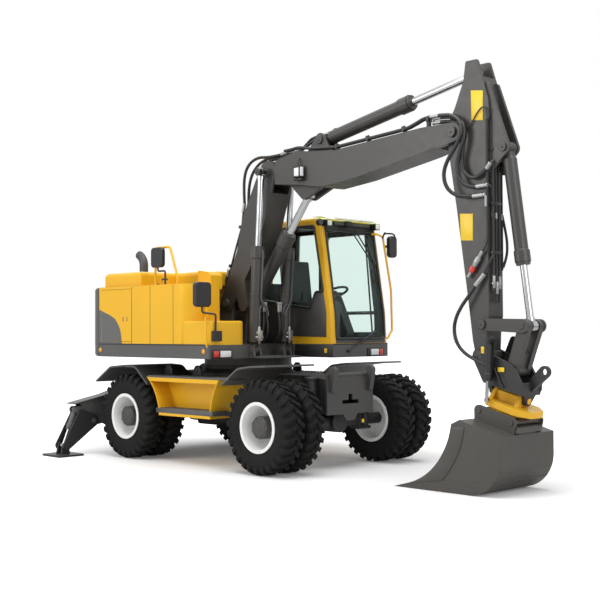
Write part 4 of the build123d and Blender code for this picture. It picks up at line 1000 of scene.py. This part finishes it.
# %% Hose bundle between the rams
bundle = [
    [(-0.560, -0.430, 1.980), (-0.560, -0.430, 1.900), (-0.545, -0.440, 1.760), (-0.560, -0.460, 1.600),
     (-0.640, -0.470, 1.520)],
    [(-0.560, -0.392, 1.980), (-0.555, -0.392, 1.880), (-0.520, -0.388, 1.740), (-0.540, -0.390, 1.590),
     (-0.640, -0.392, 1.520)],
    [(-0.560, -0.168, 1.980), (-0.560, -0.168, 1.880), (-0.530, -0.172, 1.760), (-0.550, -0.172, 1.600),
     (-0.640, -0.168, 1.520)],
    [(-0.560, -0.130, 1.980), (-0.555, -0.130, 1.880), (-0.545, -0.120, 1.760), (-0.560, -0.110, 1.600),
     (-0.640, -0.100, 1.520)],
]
for number, route in enumerate(bundle):
    loop = hose(route, 0.016, f"bundle_hose_{number}")
    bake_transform(loop)
    top = Vector(route[0])
    fitting(top - Vector((0, 0, 0.070)), top + Vector((0, 0, 0.030)), "lift_barrels",
            f"bundle_fitting_{number}", 0.018)
for name, y0, y1 in (("right", -0.480, -0.372), ("left", -0.188, -0.080)):
    block((-0.600, y0, 2.004), (-0.550, y1, 2.026), 0.004, f"bundle_rail_{name}", "lift_barrels", skirt_grey)
print("bundle hoses", len(bundle))

# %% [markdown]
# ## Body trim
# The side panels have pressed seams, a grey field at the tail, latches, and a dark rubber
# line along the foot. They are thin pieces set a hair into the paint.

# %% Seams, latch and field on the right side
side_y = -1.245
seam_half = 0.0045
body_foot = 1.505
body_top = 2.262
for number, x in enumerate([-2.239, -1.837, -1.355]):
    block((x - seam_half, side_y - 0.0008, body_foot), (x + seam_half, side_y + 0.004, body_top), 0.0004,
          f"panel_seam_{number}", "upper", frame_black)
block((-2.992, side_y - 0.002, 1.495), (-0.662, side_y + 0.004, 1.512), 0.001, "foot_line", "upper",
      frame_black)
block((-3.004, side_y - 0.001, 1.345), (-2.992, side_y + 0.004, 2.262), 0.001, "tail_line", "upper",
      frame_black)
field_depth = Vector((0, -0.0012, 0))
field_low = [(-2.992, 1.512), (-2.458, 1.512), (-2.463, 1.537), (-2.992, 1.537)]
field_tail = [(-2.992, 1.537), (-2.943, 1.537), (-2.943, 1.955), (-2.992, 1.972)]
field_high = [(-2.936, 1.543), (-2.464, 1.543), (-2.480, 1.630), (-2.502, 1.700), (-2.530, 1.745),
              (-2.570, 1.795), (-2.625, 1.845), (-2.740, 1.893), (-2.936, 1.953)]
for name, corners, body in (("side_field_low", field_low, "upper"), ("side_field_tail", field_tail, "upper"),
                            ("side_field", field_high, "service_door")):
    dress(slab(at_y(side_y, corners), field_depth, 0), name, body, swoosh_grey)
for number, x in enumerate([-2.430, -2.345]):
    block((x - 0.008, side_y - 0.003, 1.805), (x + 0.008, side_y + 0.004, 1.866), 0.003,
          f"door_latch_{number}", "service_door", swoosh_grey)
for number, x in enumerate([-2.958, -0.752]):
    lens = [stud((x, side_y + 0.004, 1.424), (x, side_y - 0.010, 1.424), 0.030, 0.005, 28),
            stud((x, side_y - 0.008, 1.424), (x, side_y - 0.014, 1.424), 0.020, 0.003, 28)]
    dress(joined(lens), f"reflector_{number}", "upper", amber)
post = [(-0.700, -1.241, 1.840), (-0.700, -1.262, 1.852), (-0.690, -1.264, 1.700), (-0.684, -1.262, 1.500),
        (-0.684, -1.241, 1.480)]
dress(tube(post, 0.013), "box_post", "upper", yellow, 60)
crown = [
    stud((-2.050, -0.950, 2.262), (-2.050, -0.950, 2.300), 0.046, 0.006, 28),
    stud((-1.915, -0.950, 2.340), (-1.915, -0.950, 2.366), 0.044, 0.006, 28),
]
dress(joined(crown), "filler_caps", "upper", plate_grey)
neck = [brick((-1.965, -1.000, 2.262), (-1.865, -0.900, 2.342), 0.018),
        brick((-2.150, -1.010, 2.262), (-2.115, -0.920, 2.300), 0.012)]
dress(joined(neck), "filler_neck", "upper", yellow)
# A black strip at the hood's foot behind the filler caps is painted shade, where the hood's side lies in
# shadow.
block((-1.990, -0.742, 2.262), (-1.400, -0.634, 2.288), 0.003, "hood_foot_painted_shade", "upper", frame_black)
print("side panel seams are", round(body_top - body_foot, 3), "m high")

# %% [markdown]
# ## Lamps of the deck
# Each front face of the deck has a black case with a red and a white lens. One loop over
# both sides makes them from their widths.

# %% Lamp clusters on the deck's two front faces
clusters = [
    # name, front x, y from and to, the red lens and the white one as y pairs
    ("right", -0.650, -1.205, -0.880, (-1.180, -1.100), (-1.075, -0.905)),
    ("left", 0.040, 0.840, 1.165, (1.065, 1.130), (0.900, 1.050)),
]
for name, x, y0, y1, red_span, white_span in clusters:
    block((x - 0.004, y0, 1.338), (x + 0.014, y1, 1.446), 0.006, f"lamp_cluster_case_{name}", "upper",
          black_plastic)
    for colour, look, (low, high) in (("red", red_lens, red_span), ("white", white_lens, white_span)):
        block((x + 0.008, low, 1.352), (x + 0.022, high, 1.432), 0.005, f"lamp_cluster_{colour}_{name}",
              "upper", look)
print("lamp clusters", len(clusters))

# %% [markdown]
# ## Steps and ears
# A tread is a plate with rows of raised studs, so that a boot does not slip. The studs are
# low eight-sided bars, and the left side's steps are the right ones' mirror.

# %% Treads, tie-down ears and small things of the undercarriage
stud_pitch, first_stud, stud_rows = 0.060, 0.035, (0.030, 0.085, 0.140)
treads = [
    # name, x from and to, y outer and inner, top z, thickness
    ("tread_high", -1.950, -0.350, 1.203, 0.950, 1.104, 0.024),
    ("tread_low", -1.770, -0.640, 1.203, 0.950, 0.694, 0.060),
]
for name, x0, x1, outer, inner, top, thick in treads:
    for side in (-1, 1):
        y0, y1 = sorted((side * outer, side * inner))
        parts = [brick((x0, y0, top - thick), (x1, y1, top), 0.004)]
        for number in range(int((x1 - x0) / stud_pitch)):
            x = x0 + first_stud + number * stud_pitch
            for y in (side * (outer - row) for row in stud_rows):
                parts.append(stud((x, y, top - 0.002), (x, y, top + 0.006), 0.014, 0.002, 8))
        dress(joined(parts), name + ("_right" if side < 0 else "_left"), "chassis", skirt_grey)
for side in (-1, 1):
    for x in (-1.900, -1.310):
        y0, y1 = sorted((side * 0.900, side * 0.868))
        ear = [(x - 0.085, y0, 1.100), (x + 0.085, y0, 1.100), (x + 0.070, y0, 1.190), (x + 0.030, y0, 1.235),
               (x - 0.030, y0, 1.235), (x - 0.070, y0, 1.190)]
        ring = slab(ear, (0, y1 - y0, 0), 0.006)
        eye = stud((x, y0 - 0.006, 1.175), (x, y1 + 0.006, 1.175), 0.026, 0.004, 20)
        hand = "right" if side < 0 else "left"
        dress(joined([ring, eye]), f"tie_ear_{hand}_{int(-100 * x)}", "chassis", frame_black)
tank = [stud((0.312, -0.470, 0.700), (0.312, -0.470, 1.085), 0.078, 0.008, 32),
        stud((0.312, -0.470, 1.080), (0.312, -0.470, 1.122), 0.088, 0.010, 32)]
dress(joined(tank), "air_bottle", "chassis", frame_black)
block((0.536, 0.190, 0.548), (0.541, 0.230, 0.590), 0.001, "axle_plate", "chassis", plate_yellow)
print("treads", 2 * len(treads))

# %% [markdown]
# ## Cab trim
# Black rubber seals frame the panes, and dark panels close the cab's foot; the black of the
# side skirt there is painted shade. A seal follows its window's corners as a thin tube that
# is closed on itself.

# %% Window seals
cab_right = 0.205


def screen_x(z):
    """The front face's X at a height: nearly upright at the foot, leaning back above."""
    if z < screen_bend:
        return 0.040 - 0.050 * (z - 1.503)
    return screen_front - front_lean * (z - screen_bend)


def seal(corners, name, radius):
    route = [Vector(c) for c in corners] + [Vector(corners[0])]
    start = (route[0] + route[1]) / 2
    ordered = [start] + route[1:] + [start]
    return pipe(ordered, radius, 0.030, name, "upper", black_plastic)


side_pane = [(-1.640, cab_right, 2.130), (-0.360, cab_right, 1.960), (-0.265, cab_right, 2.170),
             (-0.125, cab_right, 2.170), (-0.285, cab_right, 3.020), (-1.610, cab_right, 3.020)]
seal([(x, y - 0.002, z) for x, y, z in side_pane], "side_seal", 0.016)
panel = [(-1.690, cab_right, 1.620), (-0.075, cab_right, 1.590), (-0.072, cab_right, 1.900),
         (-0.122, cab_right, 2.166), (-0.268, cab_right, 2.166), (-0.352, cab_right, 1.958),
         (-1.690, cab_right, 2.130)]
dress(slab(panel, (0, -0.004, 0), 0.001), "side_dark_panel", "upper", plate_grey)
block((-1.690, cab_right - 0.006, 1.496), (-0.700, cab_right + 0.002, 1.634), 0.002, "sill_cover", "upper",
      frame_black)
# The skirt below the cab's side is made near-black as painted shade, where it lies in shadow.
block((-1.200, cab_right - 0.004, 1.337), (0.036, cab_right + 0.004, 1.492), 0.001, "cab_side_skirt_painted_shade",
      "upper", frame_black)
block((-0.110, cab_right - 0.006, 1.390), (-0.062, cab_right - 0.002, 1.446), 0.001, "skirt_plate", "upper",
      plate_yellow)
block((0.036, 0.207, 1.494), (0.043, 1.243, 1.508), 0.001, "cab_foot_line", "upper", frame_black)


def on_front(points, out, depth):
    """A thin sheet on the cab's front face through (y, z) points."""
    return slab([(screen_x(z) + out, y, z) for y, z in points], (depth, 0, 0), 0)


sill = on_front([(0.262, 1.512), (1.190, 1.512), (1.192, 1.575), (0.260, 1.575)], -0.002, 0.004)
dress(sill, "screen_sill", "upper", plate_grey)
header = on_front([(0.256, 2.960), (1.194, 2.960), (1.194, 3.088), (0.256, 3.088)], -0.002, 0.010)
dress(header, "screen_header", "upper", black_plastic)
block((-0.190, 0.400, 3.030), (-0.110, 1.080, 3.082), 0.010, "header_box", "upper", plate_grey)
screen = [(0.272, 1.568), (1.184, 1.568), (1.186, 1.900), (1.182, 2.968), (0.274, 2.968), (0.270, 1.900)]
seal([(screen_x(z) + 0.002, y, z) for y, z in screen], "screen_seal", 0.017)
print("windscreen leans back", round(screen_x(1.9) - screen_x(2.968), 3), "m")

# %% [markdown]
# ## Wipers, mirror arm and grip
# A wiper's blade rides on two thin arms that cross the pane. Thin round parts like these
# are tubes along a few points, joined with a small block for the motor.

# %% Wipers and handles
pivot = Vector((screen_x(3.060) + 0.085, 0.640, 3.060))
tip = Vector((screen_x(2.520) + 0.026, 1.120, 2.520))
middle = pivot.lerp(tip, 0.55)
across = Vector((0, 0.022, 0.020))
parts = [tube([pivot + across, middle + across, tip + 0.4 * across], 0.009),
         tube([pivot - across, middle - across, tip - 0.4 * across], 0.009),
         tube([middle.lerp(tip, 0.5) + Vector((-0.014, -0.060, 0.240)), tip + Vector((-0.012, 0, 0)),
               tip + Vector((-0.006, 0.045, -0.260))], 0.009),
         brick(pivot - Vector((0.070, 0.055, 0.035)), pivot + Vector((0.012, 0.055, 0.030)), 0.010)]
dress(joined(parts), "wiper", "upper", black_plastic, 50)
low_pivot = Vector((0.062, 0.480, 1.412))
low_tip = Vector((screen_x(1.640) + 0.030, 0.925, 1.640))
parts = [stud(low_pivot - Vector((0.024, 0, 0)), low_pivot + Vector((0.006, 0, 0)), 0.020, 0.003),
         tube([low_pivot, low_pivot.lerp(low_tip, 0.5) + Vector((0.012, 0, 0)), low_tip], 0.007),
         tube([low_pivot.lerp(low_tip, 0.25), low_pivot.lerp(low_tip, 0.6) + Vector((0.006, 0.010, -0.02)),
               low_tip - Vector((0, -0.02, 0.03))], 0.005),
         tube([low_pivot.lerp(low_tip, 0.35), low_tip + Vector((0, 0.060, 0.030))], 0.009)]
dress(joined(parts), "wiper_low", "upper", black_plastic, 50)
arm = [(-0.040, 1.250, 2.900), (-0.024, 1.250, 2.940), (-0.008, 1.250, 2.961), (0.152, 1.250, 2.945),
       (0.178, 1.250, 2.900), (0.172, 1.250, 2.800)]
pipe(arm, 0.011, 0.03, "left_mirror_arm", "upper", black_plastic)
grip = [(-0.120, 1.130, 2.500), (-0.108, 1.085, 2.480), (-0.095, 1.080, 2.400), (-0.082, 1.085, 2.330),
        (-0.080, 1.130, 2.310)]
dress(tube(grip, 0.011), "door_grip", "upper", black_plastic, 60)
print("wiper arm", round((tip - pivot).length, 2), "m")

# %% [markdown]
# ## Behind the glass
# Through the panes one sees consoles, a dark rear wall and pale rails. They are plain
# rounded blocks and bars, because the tinted glass hides all smaller things.

# %% Things seen through the glass
console = [
    brick((-0.250, 0.255, 1.560), (-0.060, 0.430, 2.050), 0.020),
    brick((-0.420, 0.560, 1.560), (-0.260, 0.690, 2.020), 0.020),
    brick((-0.700, 0.250, 1.960), (-0.240, 0.420, 2.060), 0.020),
    brick((-0.330, 0.255, 2.050), (-0.150, 0.330, 2.140), 0.012),
]
dress(joined(console), "front_console", "upper", cab_grey)
block((-1.660, 0.262, 1.560), (-1.640, 1.180, 2.330), 0.004, "rear_lining", "upper", cab_dark)
rails = [tube([(-0.140, 1.185, 1.900), (-1.040, 1.185, 1.900)], 0.012),
         tube([(-0.300, 1.185, 2.960), (-0.180, 1.185, 1.640)], 0.012),
         tube([(-0.080, 0.262, 1.905), (-0.080, 1.180, 1.905)], 0.008)]
dress(joined(rails), "inner_rails", "upper", cab_grey, 60)
print("console blocks and rails", len(console) + len(rails))

# %% [markdown]
# ## Work lamps
# The lamps' cases on the roof are ready made and get their lenses. The lamp on the boom
# and the one beside the cab are made whole, as a case, a lens and a bracket.

# %% Work lamp faces
x = -0.069
for number, y in enumerate([0.270, 1.180]):
    block((x - 0.004, y - 0.038, 3.013), (x + 0.006, y + 0.038, 3.083), 0.005, f"roof_lamp_lens_{number}",
          "upper", white_lens)
spot = Vector((-0.105, 0.150, 3.052))
parts = [stud(spot - Vector((0.060, 0, 0)), spot, 0.044, 0.010, 28),
         brick((-0.190, 0.140, 3.030), (-0.120, 0.235, 3.060), 0.006)]
dress(joined(parts), "side_lamp_case", "upper", black_plastic)
lens = stud(spot - Vector((0.004, 0, 0)), spot + Vector((0.004, 0, 0)), 0.036, 0.003, 28)
dress(lens, "side_lamp_lens", "upper", cab_grey)
boom_side = boom_y - 0.190
block((0.115, boom_side - 0.090, 3.520), (0.235, boom_side - 0.020, 3.672), 0.016, "boom_lamp_case", "boom",
      black_plastic)
block((0.230, boom_side - 0.080, 3.540), (0.242, boom_side - 0.030, 3.652), 0.006, "boom_lamp_lens", "boom",
      white_lens)
block((0.140, boom_side - 0.095, 3.540), (0.215, boom_side - 0.086, 3.640), 0.004, "boom_lamp_side", "boom",
      white_lens)
parts = [brick((0.100, boom_side - 0.070, 3.494), (0.240, boom_side + 0.002, 3.514), 0.003),
         stud((0.150, boom_side - 0.030, 3.500), (0.150, boom_side - 0.030, 3.530), 0.012, 0.002)]
dress(joined(parts), "boom_lamp_bracket", "boom", black_plastic)
stem = tube([(0.150, boom_side - 0.004, 3.770), (0.152, boom_side - 0.030, 3.740),
             (0.155, boom_side - 0.044, 3.670)], 0.008)
dress(stem, "boom_lamp_lead", "boom", black_plastic, 60)
print("boom lamp stands", round(boom_y - boom_side, 3), "m beside the boom's middle")

# %% [markdown]
# ## Plates on the dipper
# Small yellow plates stay blank: only their paint and place are kept.

# %% Blank plates
dipper_plates = [
    ("dipper_plate_high", [(2.679, 4.208), (2.833, 4.184), (2.830, 3.871), (2.682, 3.891)]),
    ("dipper_plate_low", [(2.521, 2.915), (2.691, 2.902), (2.688, 2.619), (2.532, 2.629)]),
]
for name, corners in dipper_plates:
    sheet = slab(at_y(dipper_side + 0.001, corners), (0, -0.003, 0), 0.0006)
    dress(sheet, name, "dipper", plate_yellow)
print("blank plates", len(dipper_plates))

# %% [markdown]
# ## Lines and small plates of the tool
# Two thin hoses feed the rotor, two small plates stay blank, and the bucket's back carries
# two welded seams, each a thin tube sunk to its half in the plate.

# %% Tool lines and bucket seams
for name, x, y, z, wide, high in (("tilt_plate", 2.882, -0.512, 1.470, 0.040, 0.070),
                                  ("hitch_plate", 3.070, -0.458, 1.270, 0.080, 0.046)):
    block((x - wide / 2, y - 0.003, z - high / 2), (x + wide / 2, y, z + high / 2), 0.001, name,
          "tool_head", plate_yellow)
for number, y in enumerate([-0.462, -0.440]):
    shift = 0.07 * number
    route = [(2.985 + shift, y, 1.290), (3.020 + shift, y, 1.220), (3.060 + shift, y, 1.140),
             (3.095 + 0.05 * number, y, 1.090)]
    hose(route, 0.011, f"rotor_hose_{number}", "tool_head")
seam_y = (boom_y - 0.470, boom_y + 0.470)
for number, (x, z) in enumerate([(3.238, 0.262), (3.178, 0.150)]):
    seam = tube([(x, seam_y[0], z), (x, boom_y, z), (x, seam_y[1], z)], 0.006)
    dress(seam, f"bucket_seam_{number}", "bucket", bucket_grey, 60)
print("bucket seams are", round(seam_y[1] - seam_y[0], 2), "m long")

# %% [markdown]
# ## The bucket's side bands
# A ditching bucket's cheeks are doubled along their hollow front edge by a curved band of
# plate. The ready-made bucket has a straight one there, so a copy of it is cut back to
# its cheeks, and the band is laid on as a sector of a ring round the edge's own centre.

# %% Cut the bucket back and lay on its bands
cheek_half = 0.475
edge_centre = (1.867, 0.8216)
edge_radius = 0.7936
band_width = 0.172
band_thick = 0.008


def cut_away(piece, tool):
    pick(piece)
    cut = piece.modifiers.new("cut", "BOOLEAN")
    cut.operation = "DIFFERENCE"
    cut.solver = "EXACT"
    cut.object = tool
    bpy.ops.object.modifier_apply(modifier=cut.name)
    bpy.data.objects.remove(tool)


def round_the_edge(radius, degrees, y):
    angle = radians(degrees)
    return (edge_centre[0] + radius * cos(angle), y, edge_centre[1] + radius * sin(angle))


shell = bpy.data.objects.new("bucket_shell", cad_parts["bucket"].data.copy())
bpy.context.collection.objects.link(shell)
bpy.ops.mesh.primitive_cylinder_add(vertices=256, radius=edge_radius - 0.001, depth=4 * cheek_half,
                                    location=(edge_centre[0], boom_y, edge_centre[1]),
                                    rotation=(tau / 4, 0, 0))
cut_away(shell, bpy.context.object)
for side in (-1, 1):
    y0, y1 = sorted((boom_y + side * (cheek_half + 0.0003), boom_y + side * (cheek_half + 0.040)))
    bpy.ops.mesh.primitive_cube_add(size=1, location=(2.55, (y0 + y1) / 2, 0.42), scale=(1.60, y1 - y0, 0.90))
    cut_away(shell, bpy.context.object)
bpy.ops.mesh.customdata_custom_splitnormals_clear()
close_mesh(shell)
dress(shell, "bucket_shell", "bucket", bucket_grey, 20)
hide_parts("bucket")
for side, name in ((-1, "right"), (1, "left")):
    y = boom_y + side * (cheek_half - 0.001)
    outer = [round_the_edge(edge_radius + band_width, -8.2 - 2.4 * step, y) for step in range(17)]
    inner = [round_the_edge(edge_radius + 0.002, -72.0 + 2.4 * step, y) for step in range(27)]
    band = slab(outer + inner, (0, side * (band_thick + 0.001), 0), 0.002)
    dress(band, f"side_band_{name}", "bucket", bucket_grey)
    weld = tube([(2.510, y, 0.132), (2.760, y, 0.128), (3.000, y, 0.150)], 0.0045)
    dress(weld, f"cheek_weld_{name}", "bucket", bucket_grey, 60)
print("bucket faces", len(shell.data.polygons))

# %% [markdown]
# ## Pins
# Every pin of the working gear ends in a cap held by a small bolt plate.

# %% Pin caps
rods_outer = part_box("lift_rods")[1][1] - boom_y
pin_caps = [
    ("knuckle", (-0.470, 3.655), rods_outer + 0.002, 0.046, "lift_rods"),
    ("nose", (2.474, 3.786), 0.206, 0.058, "boom"),
    ("arm_foot", (0.400, 3.975), 0.102, 0.050, "boom"),
    ("rocker", (2.826, 1.734), 0.178, 0.050, "dipper"),
    ("tip", (2.780, 1.408), 0.176, 0.056, "tool_head"),
    ("curl_foot", (3.062, 3.566), 0.106, 0.046, "dipper"),
]
for name, (x, z), reach, radius, body in pin_caps:
    parts = []
    for side in (-1, 1):
        y = boom_y + side * reach
        parts.append(stud((x, y - side * 0.004, z), (x, y + side * 0.014, z), radius, 0.004, 28))
        parts.append(stud((x, y + side * 0.012, z), (x, y + side * 0.022, z), 0.014, 0.003, 6))
    dress(joined(parts), f"pin_cap_{name}", body, boom_grey)
print("pin caps", len(pin_caps))
